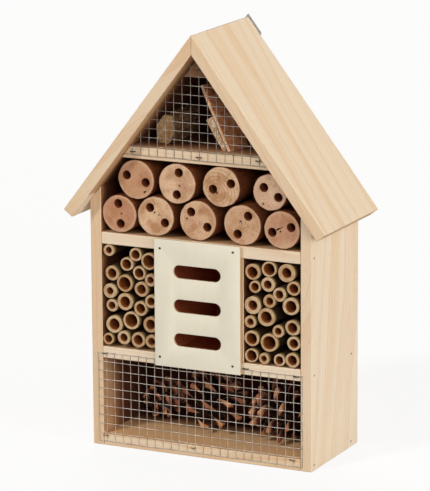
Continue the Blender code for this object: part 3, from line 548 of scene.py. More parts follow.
def cane_finish():
    """Dry reed cane: a hard yellowish skin, a pale cut end dotted with vessels, and a brown pithy
    bore. The depth attribute runs from the bore, below 0, over the cut from 0 to 1, to the skin, and
    back is how many millimetres a point lies behind the cut."""
    made, tree = new_finish("cut reed cane", 0.5)
    own = add(tree, "Attribute", attribute_name="from_axis").outputs["Vector"]
    carried = (add(tree, "Attribute", attribute_name=title) for title in ("tone", "depth", "back"))
    tone, depth, back = (node.outputs["Fac"] for node in carried)
    dots = add(tree, "TexVoronoi", {"Vector": own, "Scale": 1 / 0.9}, feature="F1")
    vessel = add(tree, "MapRange", (dots, 0.1, 0.45, 0.35, 0.0))
    stain = add(tree, "TexNoise", {"Vector": own, "Scale": 1 / 4.5, "Detail": 3.0})
    stained = add(tree, "MapRange", (stain, 0.4, 0.7), interpolation_type="SMOOTHSTEP")
    inner = add(tree, "MapRange", (depth, 0.45, 0.0, 0.0, 0.45))
    outer = add(tree, "MapRange", (depth, 0.6, 1.0, 0.0, 0.3))
    coats = [(stained, "AE8C67"), (tone, "B07E52"), (inner, "B98558"), (outer, "C4AA73")]
    # The skin has lines along it, and a few millimetres behind the cut it turns dark brown: painted
    # shade for the gaps between the canes.
    lengthwise = add(tree, "Mapping", {"Vector": own, "Scale": per(1, 25, 1)})
    lines = add(tree, "TexNoise", {"Vector": lengthwise, "Scale": 1.2, "Detail": 3.0})
    painted_gap_shade = add(tree, "MapRange", (back, 0.3, 6.0, 0.0, 0.96))
    husk = laid(tree, "A0824C", (lines, "D4BA84"), (painted_gap_shade, "3E2415"))
    fluff = add(tree, "MixRGB", (lines, "6E3719", "A8652F"))
    on_skin = add(tree, "MapRange", (depth, 1.02, 1.15))
    in_bore = add(tree, "MapRange", (depth, 0.0, -0.25))
    coats += [(vessel, "A07A50"), (on_skin, husk), (in_bore, fluff)]
    relief = add(tree, "Math", (dots, 0.5, lines), operation="MULTIPLY_ADD")
    return coat(made, laid(tree, "CFB592", *coats), relief, 0.4, 0.2 * MM)


def pine_cone_finish():
    """Dry cone scales: near black red-brown towards the cone's core, which is painted shade, brown along
    the scale and a tan, ridged end whose thin sides are paler, which is a painted highlight. The along
    attribute runs from 0 at the cone's core to 1 at the scale's end, edge from 0 in the middle of a
    scale to 1 at its sides."""
    made, tree = new_finish("dry pine cone", 0.75, 0.12)
    place = own_place(tree)
    carried = (add(tree, "Attribute", attribute_name=title) for title in ("along", "edge", "tone"))
    along, edge, tone = (node.outputs["Fac"] for node in carried)
    mottle = add(tree, "TexNoise", {"Vector": place, "Scale": 1 / 2.2, "Detail": 3.0})
    moved = add(tree, "Math", (mottle, 0.24, along), operation="MULTIPLY_ADD")
    body = add(tree, "MapRange", (moved, 0.5, 1.0), interpolation_type="SMOOTHSTEP")
    edge_highlight = add(tree, "Math", (edge, along), operation="MULTIPLY")
    edge_highlight_share = add(tree, "Math", (edge_highlight, 0.75), operation="MULTIPLY")
    tips = add(tree, "MapRange", (moved, 0.84, 0.98), interpolation_type="SMOOTHSTEP")
    end_tone = add(tree, "MixRGB", (tone, "DCA274", "A4664A"))
    # Painted shade darkens the scales towards the core; a painted highlight pales their sides near the end.
    scale = laid(tree, "2A110C", (body, "743E2C"), (edge_highlight_share, "D6B494"), (tips, end_tone))
    speckle = add(tree, "MapRange", (mottle, 0.3, 0.7, 0.82, 1.15))
    colour = add(tree, "VectorMath", {0: scale, "Scale": speckle}, operation="SCALE")
    return coat(made, colour, mottle, 0.5, 0.4 * MM)


def rough_wood_finish(name, light, dark, cut, stretch, turn, lump):
    """Split wood or bark: torn fibres along the grain over lumps of light and dark, paler where it
    was cut square to Y. The stretch is how much longer than wide its fibres are, and the turn lays
    them along X."""
    made, tree = new_finish(name, 0.82, 0.2)
    place = own_place(tree, Rotation=turn)
    fibres = add(tree, "Mapping", {"Vector": place, "Scale": per(stretch, 1, 1)})
    fibre = add(tree, "TexNoise", {"Vector": fibres, "Scale": 0.7, "Detail": 4.0, "Roughness": 0.65})
    lumps = add(tree, "TexNoise", {"Vector": place, "Scale": 1 / lump, "Detail": 2.0})
    share = add(tree, "Math", (lumps, 0.6, fibre), operation="MULTIPLY_ADD")
    tone = add(tree, "MapRange", (share, 0.58, 1.05), interpolation_type="SMOOTHSTEP")
    faces = add(tree, "MixRGB", (tone, dark, light))
    cuts = add(tree, "MixRGB", (tone, light, cut))
    square = add(tree, "MapRange", (squareness(tree), 0.55, 0.8))
    colour = add(tree, "MixRGB", (square, faces, cuts))
    return coat(made, colour, share, 0.7, 0.8 * MM)


def dress(node, finish):
    """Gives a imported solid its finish."""
    mesh = NODES[node].data
    mesh.materials.clear()
    mesh.materials.append(finish)


# ---- the boards

# How the grain of standing and sloping boards is turned about Y, and the ways out through the roof.
UPRIGHT = math.radians(90)
DOWN_RIGHT = -ROOF_PITCH
DOWN_LEFT = ROOF_PITCH + math.pi
OUT_LEFT = (-math.sin(ROOF_PITCH), 0, math.cos(ROOF_PITCH))
OUT_RIGHT = (math.sin(ROOF_PITCH), 0, math.cos(ROOF_PITCH))
NOWHERE = (0, 0, 0)

# The warm painted shade on the inner faces of most boards.
WARM_INNER_SHADE = "C48F58"
# Each board's grain direction, the way out of the house for the boards that have an outer face above
# or below, and then the facts of its wood: the place of the tree's heart beside it (across, out), how
# many degrees its grain runs off its edges, the seed of its wandering, how warm it is, the width and
# the strength of its growth rings, how strongly painted shade darkens and pinks its front edge, the
# warm tone of the painted shade on its inner faces, and how far behind the front the darker painted
# shade begins below and above the lower shelf. Lengths are in millimetres.
BOARDS = {
    "bottom_board": (0, (0, 0, -1), ((40, 55), 0, 1.3, 0.2, 5.5, 0.62, 0.0, "EAB577", (50, 50))),
    "lower_shelf": (0, NOWHERE, ((-70, 30), 0, 2.1, 0.0, 4.5, 0.36, 0.0, WARM_INNER_SHADE, (0, 0))),
    "upper_shelf": (0, NOWHERE, ((90, -25), 0, 3.7, 0.0, 5, 0.36, 0.0, WARM_INNER_SHADE, (2, 2))),
    "attic_shelf": (0, NOWHERE, ((-60, -40), 0, 4.4, 0.1, 4.5, 0.36, 0.3, WARM_INNER_SHADE, (3, 3))),
    "left_divider": (UPRIGHT, NOWHERE, ((30, 60), 0, 5.9, 0.3, 5, 0.36, 0.6, WARM_INNER_SHADE, (-24, -24))),
    "right_divider": (UPRIGHT, NOWHERE, ((-50, 45), 0, 6.2, 0.3, 5, 0.36, 0.6, WARM_INNER_SHADE, (-24, -24))),
    "left_wall": (UPRIGHT, NOWHERE, ((-20, -70), 0, 7.8, 0.3, 5, 0.36, 0.8, "B8824E", (14, -14))),
    "right_wall": (UPRIGHT, NOWHERE, ((30, -34), -7, 8.5, 0.0, 22, 0.3, 0.4, WARM_INNER_SHADE, (16, -14))),
    "roof_left": (DOWN_LEFT, OUT_LEFT, ((70, -45), -6, 9.6, 0.0, 14, 0.3, 0.5, WARM_INNER_SHADE, (-10, -10))),
    "roof_right": (DOWN_RIGHT, OUT_RIGHT, ((-110, -40), 9, 10.4, 0.25, 18, 0.34, 0.5, WARM_INNER_SHADE, (-10, -10))),
}


def dress_boards():
    """Gives each board its own pine, and the back panel its plywood."""
    for node, (turn, outward, board) in BOARDS.items():
        name = "planed pine, " + node.replace("_", " ")
        dress(node, pine_finish(name, middle_of(node), turn, outward, board))
    dress("back_panel", plywood_finish())


# ---- the panel and its nails


def slot_places(node):
    """Middle height, width and height of each slot through a solid, from the points between its
    outer edges."""
    low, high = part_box(node)
    points = solid_points(node, low.y)
    inside = points[(points[:, 0] > low.x + 8 * MM) & (points[:, 0] < high.x - 8 * MM)]
    places = []
    for level in clusters(inside[:, 2:], 6 * MM):
        edge = inside[(inside[:, 2] >= level.min()) & (inside[:, 2] <= level.max())]
        if np.ptp(edge[:, 0]) > 20 * MM:
            places.append((*(edge.min(0) + edge.max(0))[[0, 2]] / 2, *np.ptp(edge, axis=0)[[0, 2]]))
    return places


def make_panel(finish):
    """The cream panel: a flat board with three slots whose ends are half round, all edges eased."""
    low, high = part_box("front_panel")
    corners = [(low.x, low.z), (high.x, low.z), (high.x, high.z), (low.x, high.z)]
    board = prism(np.array(corners), low.y, high.y)
    panel = add_piece("cream_panel", board, finish, ["front_panel"])
    arc = np.linspace(-math.pi / 2, math.pi / 2, 25)
    for x, z, width, height in slot_places("front_panel"):
        end = np.column_stack([np.cos(arc), np.sin(arc)]) * height / 2
        straight = (width - height) / 2
        ring = np.concatenate([end + (straight, 0), -end - (straight, 0)]) + (x, z)
        cut_away(panel, prism(ring, low.y - 5 * MM, high.y + 5 * MM))
    ease = panel.modifiers.new("eased edges", "BEVEL")
    ease.width = 0.35 * MM
    ease.segments = 3
    ease.limit_method = "ANGLE"
    ease.angle_limit = math.radians(50)
    settle_modifiers(panel, 35)


# A nail head's radius, height and dome, or dish below 0.
PROUD_HEAD = (1.25 * MM, 0.5 * MM, 0.1 * MM)
SUNK_HEAD = (1.15 * MM, 0.12 * MM, -0.08 * MM)
# In millimetres: how far each nail in the walls is behind their front edge and above the ground, and
# how far each nail in the roof is down the slope from the ridge and behind the walls' front edge.
WALL_NAILS = ((6, 217.7), (6.5, 98.5), (98, 98.5), (6, 6.2), (98, 6))
ROOF_NAILS = ((9, 99.7), (12, 4), (150.7, 15.3), (151, 98), (197, 3.6), (194, 110.3))


def stud(place, facing, radius, height, dome):
    """A nail head: a flat disc with a rounded rim, and slightly domed or dished. The place is where
    its axis meets the board, and facing is the unit vector out of the board."""
    sunk = 0.4 * MM
    rim = [(1.0, -sunk), (1.0, height * 0.5), (0.95, height * 0.85), (0.8, height)]
    stations = np.array(rim + [(0.4, height + dome * 0.7), (0.0, height + dome)])
    share, rise = stations[:, :1], stations[:, 1:]
    cos, sin = circle(20).T * radius
    turn = np.array(Vector(facing).to_track_quat("Z", "Y").to_matrix())
    return skin(spread(cos * share, sin * share, rise) @ turn.T + np.array(place))


def make_nails(panel_steel, board_steel):
    """The heads of the nails: four on the panel, and those that hold the walls and the roof."""
    heads = ["panel_nail_" + end for end in ("top_left", "top_right", "bottom_left", "bottom_right")]
    panel_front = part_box("front_panel")[0].y
    spots = [(middle.x, panel_front, middle.z) for middle in map(middle_of, heads)]
    shapes = [stud(spot, (0, -1, 0), *PROUD_HEAD) for spot in spots]
    add_piece("panel_nail_heads", together(shapes), panel_steel, heads)
    left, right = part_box("left_wall")[0].x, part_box("right_wall")[1].x
    shapes = []
    for depth, height in WALL_NAILS:
        for x, side in ((left, -1), (right, 1)):
            place = (x, WALLS_FRONT + depth * MM, height * MM)
            shapes.append(stud(place, (side, 0, 0), *SUNK_HEAD))
    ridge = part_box("roof_right")[1].z
    for down, depth in ROOF_NAILS:
        z = ridge - down * MM * math.sin(ROOF_PITCH)
        for side, out in ((-1, OUT_LEFT), (1, OUT_RIGHT)):
            place = (side * down * MM * math.cos(ROOF_PITCH), WALLS_FRONT + depth * MM, z)
            shapes.append(stud(place, out, *SUNK_HEAD))
    add_piece("board_nail_heads", together(shapes), board_steel)


# ---- the wire meshes

WIRE = 0.62 * MM
UPRIGHT_WIRES_Y = WALLS_FRONT - 0.45 * MM
LEVEL_WIRES_Y = WALLS_FRONT - 1.08 * MM


def wire_lines(node, axis):
    """Where a packed lattice has its wires along one axis: the middles between its bars' edges."""
    edges = np.unique(np.round(solid_points(node)[:, axis], 5))
    return (edges[::2] + edges[1::2]) / 2


def wire(start, end, seed):
    """A round wire from start to end, pulled a little out of line, as cut mesh is."""
    start, end = np.array(start), np.array(end)
    count = max(4, round(np.linalg.norm(end - start) / (4.6 * MM)))
    share = np.linspace(0, 1, count)[:, None]
    path = start + (end - start) * share
    across = np.array([end[2] - start[2], 0, end[0] - start[0]])
    across = across / np.linalg.norm(across)
    sway = ripple(path / MM, 55, seed)[:, None] * 0.28 * MM
    return sweep(path + across * sway, circle(8) * WIRE / 2, (0, 1, 0))


def gable_half_width(z):
    """Half the room under the roof at a height."""
    return (ROOF_UNDERSIDE - z) / math.tan(ROOF_PITCH)


def make_lower_wires(finish):
    """Welded mesh in front of the cones: upright wires behind, level wires welded on in front."""
    xs, zs = wire_lines("lower_mesh", 0), wire_lines("lower_mesh", 2)
    ends = 0.5 * MM
    bottom, top = zs[0] - ends, zs[-1] + ends
    left, right = xs[0] - ends, xs[-1] + ends
    uprights = [wire((x, UPRIGHT_WIRES_Y, bottom), (x, UPRIGHT_WIRES_Y, top), i) for i, x in enumerate(xs)]
    levels = [wire((left, LEVEL_WIRES_Y, z), (right, LEVEL_WIRES_Y, z), 70 + i) for i, z in enumerate(zs)]
    add_piece("lower_wires", together(uprights + levels), finish, ["lower_mesh"])


def make_attic_wires(finish):
    """Welded mesh in the gable, each wire clipped where it meets the roof."""
    xs, zs = wire_lines("attic_mesh", 0), wire_lines("attic_mesh", 2)
    pitch = np.diff(zs).mean()
    clear = 0.6 * MM
    bottom = zs[0] - clear
    zs = np.arange(zs[0], ROOF_UNDERSIDE - pitch / 2, pitch)
    reach = gable_half_width(bottom) - 2 * MM
    xs = xs[0] + pitch * np.arange(-2, len(xs) + 2)
    xs = xs[np.abs(xs) < reach]
    tops = ROOF_UNDERSIDE - np.abs(xs) * math.tan(ROOF_PITCH) - clear
    uprights = [
        wire((x, UPRIGHT_WIRES_Y, bottom), (x, UPRIGHT_WIRES_Y, top), 130 + i)
        for i, (x, top) in enumerate(zip(xs, tops))
        if top > bottom + pitch / 2
    ]
    widths = gable_half_width(zs) - clear
    levels = [
        wire((-width, LEVEL_WIRES_Y, z), (width, LEVEL_WIRES_Y, z), 170 + i)
        for i, (z, width) in enumerate(zip(zs, widths))
        if width > pitch / 2
    ]
    add_piece("attic_wires", together(uprights + levels), finish, ["attic_mesh"])


def staple(x, z, turn, leg):
    """A flat-wire staple across the mesh, its legs driven into the wood."""
    half, shoulder, proud, crown = 2.4 * MM, 0.5 * MM, 1.75 * MM, 0.1 * MM
    bend = shoulder * 0.3
    side = [(half, leg), (half, shoulder - proud), (half - bend, bend - proud), (half - shoulder, -proud)]
    side = np.array(side)
    along, back = np.concatenate([side * (-1, 1), [(0, -proud - crown)], side[::-1]]).T
    cos, sin = math.cos(turn), math.sin(turn)
    path = spread(x * MM + along * cos, WALLS_FRONT + back, z * MM + along * sin)
    return sweep(path, squarish(12, 0.5) * (0.75 * MM, 0.35 * MM), (-sin, 0, cos))


# Middle of each staple, in millimetres from the house's middle and from the ground, and its slant.
STAPLES = [(-107.3, 97.7, 4), (50.9, 99.2, -3), (106.2, 97.1, 2), (-107.4, 10.8, -5), (-8.4, 9.4, 3)]
STAPLES += [(101.6, 10.7, 0), (-72.8, 309.7, 3), (0.5, 309.7, -2), (65.2, 311.6, 6), (2.8, 397.6, 12)]


def make_staples(dark, light):
    """The staples of both meshes: bright ones along the bottom board and tarnished ones above it."""
    # The ridge block stands further back than the other boards, so its staple has longer legs.
    driven = 2 * MM
    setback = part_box("ridge_block")[0].y - WALLS_FRONT
    low, high = [], []
    for x, z, slant in STAPLES:
        leg = driven + setback * (z * MM > BLOCK_LOW.z)
        row = low if z * MM < SHELF_TOPS["bottom_board"] else high
        row.append(staple(x, z, math.radians(slant), leg))
    add_piece("staples", together(high), dark)
    add_piece("bright_staples", together(low), light)


# ---- the logs

# For each log: where its pith lies from its middle, in millimetres, then how brown it is, or how pale
# below 0, how pink its patches are and how strong its growth rings are.
LOG_HEARTS = {
    "log_1": ((2.5, 0.5), 0.65, 0.9, 0.25),
    "log_2": ((-1.2, 3.9), 0.0, 0.1, 0.2),
    "log_3": ((-12, 1.2), 0.15, 0.2, 0.3),
    "log_4": ((-2.1, 3.8), 0.3, 0.0, 0.3),
    "log_5": ((-1.5, -1.5), 0.35, 0.9, 0.3),
    "log_6": ((9.7, -12), 0.55, 0.3, 0.35),
    "log_7": ((2.9, -1.8), -0.15, 0.2, 0.15),
    "log_8": ((-4.7, -6.3), 0.05, 0.0, 0.7),
    # log_9's pale tone is painted light that lifts it where the right roof shades it.
    "log_9": ((-7.3, -12), -0.35, 0.7, 0.15),
}

BORE_DEPTH = 88 * MM
SPLIT_DEPTH = 7 * MM
# Drying splits, in millimetres from the log's middle: both ends and the width at the first.
SPLITS = {
    "log_5": ((-6.5, -0.5), (1.6, 3.4), 2.2),
    "log_4": ((-1.4, 4.6), (-0.2, -0.6), 1.1),
    "log_6": ((8.2, -12.4), (12.2, -10.4), 1.8),
    "log_2": ((2.6, 1.2), (4.6, 3.4), 1.0),
}


def bores_of(node, centre, radius):
    """Middle and radius of each hole that opens in a log's front face."""
    points = solid_points(node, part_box(node)[0].y)[:, [0, 2]]
    inside = points[np.linalg.norm(points - centre, axis=1) < 0.93 * radius]
    holes = []
    for group in clusters(inside, 3 * MM):
        middle = group.mean(0)
        holes.append((middle, np.linalg.norm(group - middle, axis=1).mean()))
    return holes


def split_wedge(start, end, width, front):
    """A drying split's room: a drop-shaped outline from start to end, carried in from the front."""
    share = np.r_[np.linspace(0, 1, 12), np.linspace(1, 0, 12)[1:-1]]
    side = np.r_[np.ones(12), -np.ones(10)]
    lean = (end - start) / np.linalg.norm(end - start)
    half = width / 2 * np.sqrt(np.clip(share * 6, 0, 1)) * (1.02 - share) ** 0.8
    jagged = 1 + 0.35 * np.sin(share * 17 + side)
    outline = start + np.outer(share, end - start)
    outline = outline + np.array([-lean[1], lean[0]]) * (side * half * jagged)[:, None]
    return prism(outline, front - 2 * MM, front + SPLIT_DEPTH)


def make_log(node, number):
    """A branch sawn square: rings of points from the middle of one end, over a softened rim, along
    uneven sides and back to the middle of the other end. Two holes are drilled in it."""
    low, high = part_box(node)
    centre = np.array([(low.x + high.x) / 2, (low.z + high.z) / 2])
    radius = (high.x - low.x) / 2
    length = (high.y - low.y) / MM
    ring = circle(120)
    cos, sin = ring.T
    out_of_round, chipped = 0.035, 0.022
    chips = ripple(ring * radius / MM, 5, 350 + number)
    outline = 1 - out_of_round * lobes(np.arctan2(sin, cos), 300 + number)
    outline = outline - chipped * np.clip(chips - 0.35, 0, 1)
    # Share of the radius and millimetres from the front.
    front = [(0, 0), (0.3, 0), (0.6, 0), (0.85, 0), (0.965, 0), (0.99, 0.25), (1, 0.8)]
    sides = [(1, y) for y in np.linspace(3, length - 3, 14)]
    stations = np.array(front + sides + [(1, length - 0.8), (0.97, length), (0, length)])
    share, back = stations[:, :1], stations[:, 1:]
    # Long grooves down the sides, inside the solid's own circle.
    groove = 0.012
    bark = ripple(spread(cos * 20, back / 6, sin * 20), 9, 330 + number)
    rough = np.clip(bark, -1, 1) * groove * smooth(share, 0.9, 1)
    reach = share * outline * radius * (1 - groove + rough)
    points = spread(centre[0] + reach * cos, low.y + back * MM, centre[1] + reach * sin)
    finish = log_finish(f"sawn branch {number}", centre, radius, LOG_HEARTS[node], number)
    log = add_piece("drilled_" + node, skin(points), finish, [node])
    for middle, bore in bores_of(node, centre, radius):
        # Distances from the log's front. The drill tears the hole's mouth a little wider.
        mouth = bore + 0.4 * MM
        drill = [(0, -4 * MM), (mouth, -4 * MM), (mouth, -0.05 * MM), (bore, 0.45 * MM)]
        drill += [(bore, BORE_DEPTH - 3 * MM), (0, BORE_DEPTH)]
        cut_away(log, turned(np.array(drill) + (0, low.y), middle, 40))
    if node in SPLITS:
        start, end, width = SPLITS[node]
        ends = centre + np.array([start, end]) * MM
        cut_away(log, split_wedge(*ends, width * MM, low.y))


# ---- the canes


def canes_of(node):
    """Middle, radius and bore radius of each cane in a bundle. A bore's floor is a disc that lies by
    itself in one plane, and the cane's own outline is the nearest ring of points outside the bore."""
    low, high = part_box(node)
    floor = high.y - 4 * MM
    front = solid_points(node, low.y)[:, [0, 2]]
    found = []
    for group in clusters(solid_points(node, floor)[:, [0, 2]], 4 * MM):
        middle = (group.min(0) + group.max(0)) / 2
        bore = np.linalg.norm(group - middle, axis=1).max()
        distances = np.linalg.norm(front - middle, axis=1)
        found.append((middle, distances[distances > bore + 0.8 * MM].min(), bore))
    return found


def make_cane(name, node, middle, radius, bore, seed, finish):
    """A cane cut square: rings of points from the floor of its bore, out over the cut, and back along
    the skin to the far end. Its outline is a circle pressed oval, now and then with one blunt corner,
    and a node thickens it somewhere along its length."""
    rng = np.random.default_rng(seed)
    low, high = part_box(node)
    length = (high.y - low.y) / MM
    cos, sin = circle(56).T
    angles = np.arctan2(sin, cos)
    outline = 1 - 0.05 * lobes(angles, seed, 2, 4)
    corner = rng.uniform(0, 2 * math.pi)
    if rng.uniform() < 0.25:
        outline -= 0.06 * (1 - smooth(np.cos(angles - corner), 0.2, 1))
    outline /= outline.max()
    hollow = 1 - 0.07 * lobes(angles, seed + 1, 2, 5)
    # The wall is at least 1.1 mm thick.
    radius = radius / MM
    bore = min(bore / MM * 1.1, radius - 1.1)
    wall = radius - bore
    setback = rng.uniform(0, 1.2)
    knot = rng.uniform(25, 80)
    floor = length - 4 - setback
    # Depth attribute, share of the bore's radius, millimetres of wall beyond it, distance from the cut.
    stations = [(-1, 0, 0, floor), (-1, 1, 0, floor), (-1, 1, 0, 40), (-1, 1, 0, 12), (-0.8, 1, 0, 4)]
    stations += [(-0.4, 1, 0, 1), (0, 1, 0.12, 0.25), (0.1, 1, 0.3, 0.02), (0.4, 1, wall * 0.4, 0)]
    stations += [(0.75, 1, wall * 0.75, 0), (0.97, 1, wall - 0.35, 0), (1.05, 1, wall - 0.1, 0.15)]
    stations += [(1.2, 1, wall, 0.5)]
    skin_rows = np.r_[np.linspace(2, length - 3 - setback, 12), knot + np.array([-3, -1, 0, 1, 3])]
    stations += [(2, 1, wall, y) for y in np.sort(skin_rows)]
    stations += [(2, 1, wall - 0.3, length - setback), (2, 0, 0, length - setback)]
    depth, share, beyond, back = np.array(stations).T
    out_share = np.clip(beyond / wall, 0, 1)[:, None]
    inner = bore * hollow * share[:, None]
    swell = 0.972 + 0.02 * np.exp(-(((back - knot) / 1.6) ** 2))
    outer = radius * outline * swell[:, None]
    reach = inner + (outer - inner) * out_share
    reach[share == 0] = 0
    offset = rng.uniform(-0.06, 0.06, 2) * wall * (1 - out_share)
    tilt = rng.normal(0, 0.018, 2)
    x = reach * cos + offset[:, :1]
    z = reach * sin + offset[:, 1:]
    slope = (x * tilt[0] + z * tilt[1]) * smooth(-back, -30, 0)[:, None]
    y = back[:, None] + setback + np.clip(slope, -setback, 1)
    own = spread(x, y, z)
    points = own * MM + (middle[0], low.y, middle[1])
    values = {
        "from_axis": own.reshape(-1, 3) + rng.uniform(-500, 500, 3),
        "tone": np.full(x.size, rng.uniform(0, 0.6)),
        "depth": np.repeat(depth, len(angles)),
        "back": np.repeat(back, len(angles)),
    }
    add_piece(name, skin(points), finish, [node], values)


def make_canes(finish):
    """Every cane beside the chamber, numbered on each side in the order of its bundles."""
    for side, word in enumerate(("left", "right")):
        bundles = sorted(node for node in NODES if node.startswith(f"canes_{word}_"))
        number = 0
        for node in bundles:
            for middle, radius, bore in canes_of(node):
                number += 1
                seed = 1000 + 100 * side + number
                make_cane(f"cane_{word}_{number:02d}", node, middle, radius, bore, seed, finish)


# ---- the pine cones

# Turn and tilt of each cone's axis in degrees, its number of scales and half the width of a scale in
# millimetres.
CONES = {
    "pinecone_right": (186, 18, 34, 8.6),
    "pinecone_middle": (35, 55, 32, 10.0),
    "pinecone_left": (70, 10, 40, 6.4),
    "pinecone_back": (120, 20, 32, 7.4),
}
GOLDEN_ANGLE = math.radians(137.508)
# Points along a scale and round it.
ALONG, AROUND = 12, 12


def cone_scales(rng, count, half_width, length, widest):
    """The scales of a cone whose axis is upright, as points (x, y, z) in a grid for each scale: along
    the scale and round it. Each leans outwards from the core by an angle that grows along it, so its
    path is the running sum of that angle's sine and cosine. Its section is an ellipse, wide and thick
    as smooth steps along the path say, with a crown and, near the end, a beak."""
    # From 0 at the cone's base to 1 at its tip.
    place = ((np.arange(count) + 0.5) / count) ** 0.9
    spin = np.arange(count) * GOLDEN_ANGLE + rng.normal(0, 0.05, count)
    fullness = np.sin(math.pi * (0.12 + 0.8 * place)) ** 0.7
    core = widest * 0.24 * (1 - 0.5 * place)
    reach = (widest * fullness - core) * 1.12
    opening = np.radians(104 - 66 * place) + rng.normal(0, 0.08, count)
    start = np.radians(70 - 45 * place)
    along = np.linspace(0, 1, ALONG)
    lean = start[:, None] + (opening - start)[:, None] * smooth(along, 0, 0.8)
    step = reach[:, None] / (ALONG - 1)
    out = core[:, None] * 0.8 + np.cumsum(np.sin(lean) * step, 1) - np.sin(lean[:, :1]) * step
    rise = np.cumsum(np.cos(lean) * step, 1) - np.cos(lean[:, :1]) * step
    base = ((-0.4 + 0.74 * place) * length)[:, None]
    width = half_width * (0.6 + 0.4 * fullness)[:, None] * (0.3 + 0.7 * smooth(along, 0.1, 0.75))
    width = width * np.clip(1 - ((along - 0.66) / 0.35).clip(0) ** 1.7, 0.04, 1)
    thick = half_width * (0.07 + 0.12 * smooth(along, 0.55, 0.84))
    thick = thick * np.sqrt(np.clip(1 - ((along - 0.84) / 0.17).clip(0) ** 2, 0.01, 1))
    aside, above = circle(AROUND).T
    across = width[..., None] * aside
    crown = half_width * 0.2 * along[:, None] * (1 - aside**2)
    beak = half_width * 0.16 * np.exp(-(((along[:, None] - 0.9) / 0.07) ** 2) - (aside / 0.4) ** 2)
    through = thick[:, None] * above + crown + beak * (above > 0)
    away = out[..., None] + np.cos(lean)[..., None] * through
    up = (base + rise)[..., None] - np.sin(lean)[..., None] * through
    cos, sin = np.cos(spin)[:, None, None], np.sin(spin)[:, None, None]
    return spread(away * cos - across * sin, away * sin + across * cos, up)


def make_cone(node, number, finish):
    """An open pine cone. Its scales sit on a spindle in a spiral that turns by the golden angle. Each
    is a stalk that leaves the spindle towards the tip, bends outwards, widens like a spoon and ends in
    a thick blunt lozenge with a small beak. Scales at the base stand out, and those at the tip stay
    closed."""
    turn, tilt, count, half_width = CONES[node]
    turn, tilt = math.radians(turn), math.radians(tilt)
    axis = np.array([math.cos(tilt) * math.cos(turn), math.cos(tilt) * math.sin(turn), math.sin(tilt)])
    side = np.cross(axis, (0.0, 0.0, 1.0))
    side /= np.linalg.norm(side)
    axes = np.array([side, np.cross(side, axis), axis])
    points = solid_points(node)
    centre = (points.min(0) + points.max(0)) / 2
    from_centre = (points - centre) @ axes.T
    length = np.ptp(from_centre[:, 2])
    widest = np.linalg.norm(from_centre[:, :2], axis=1).max() * 0.98
    rng = np.random.default_rng(500 + number)
    scales = cone_scales(rng, count, half_width * MM, length, widest)
    height = np.linspace(-0.47, 0.4, 12)
    thin = widest * 0.25 * np.sqrt(1 - (height / 0.48).clip(-0.99, 0.99) ** 2) * (0.75 - 0.5 * height)
    thin, height = thin[:, None], height[:, None] * length
    cos, sin = circle(16).T
    spindle = spread(cos * thin, sin * thin, height)
    shapes = [skin(centre + part @ axes) for part in (*scales, spindle)]
    rest = np.zeros(spindle[..., 0].size)
    every = (count, ALONG, AROUND)
    along = np.linspace(0, 1, ALONG)[:, None]
    edge = smooth(np.abs(circle(AROUND)[:, 0]), 0.75, 1)
    values = {
        "along": np.r_[np.broadcast_to(along, every).ravel(), rest],
        "edge": np.r_[np.broadcast_to(edge, every).ravel(), rest],
        "tone": np.r_[np.repeat(rng.uniform(0, 1, count), ALONG * AROUND), rest],
    }
    add_piece("open_" + node, together(shapes), finish, [node], values, 60)


# ---- what lies in the attic


def make_slab(finish):
    """The bark slab: a thin plate that leans to the left and is turned 17 degrees to the front. A
    rounded rectangle, depth by thickness, is carried up the lean, with the bark's ridges as ripples
    on both faces."""
    low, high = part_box("bark_slab")
    outline = solid_points("bark_slab", low.y)[:, [0, 2]]
    foot = outline[np.argmax(outline[:, 0])]
    tip = outline[np.argmax(outline[:, 1] + outline[:, 0] * 0.2)]
    lean = (tip - foot) / np.linalg.norm(tip - foot)
    across = np.array([-lean[1], lean[0]])
    thickness = 3.4 * MM
    rows = 40
    share = np.linspace(0, 1, rows)
    middle = foot + across * thickness / 2 + np.outer(share, tip - foot)
    bow = np.sin(share * math.pi) * 0.3 * MM
    middle = middle + bow[:, None] * across
    path = np.insert(middle, 1, (low.y + high.y) / 2, axis=1)
    ring = squarish(90, 0.22)
    depth = (high.y - low.y) / 2
    frayed = 1 - 0.02 * (1 + ripple(spread(share * 60, 0), 14, 41))
    places = spread(ring[:, 0] * 38, share[:, None] * 31.5, ring[:, 1] * 9)
    rough = ripple(places, 9, 42) * 0.2 * MM + ripple(places, 4, 43) * 0.2 * MM
    raised = ring[:, 1] * (thickness / 2 + rough * 0.5) + rough * 0.4
    section = spread(ring[:, 0] * depth * frayed[:, None], raised)
    points, faces = sweep(path, section, (across[0], 0, across[1]))
    points[:, 0] += (points[:, 1] - low.y) * math.tan(math.radians(17))
    add_piece("bark_plate", (points, faces), finish, ["bark_slab"])


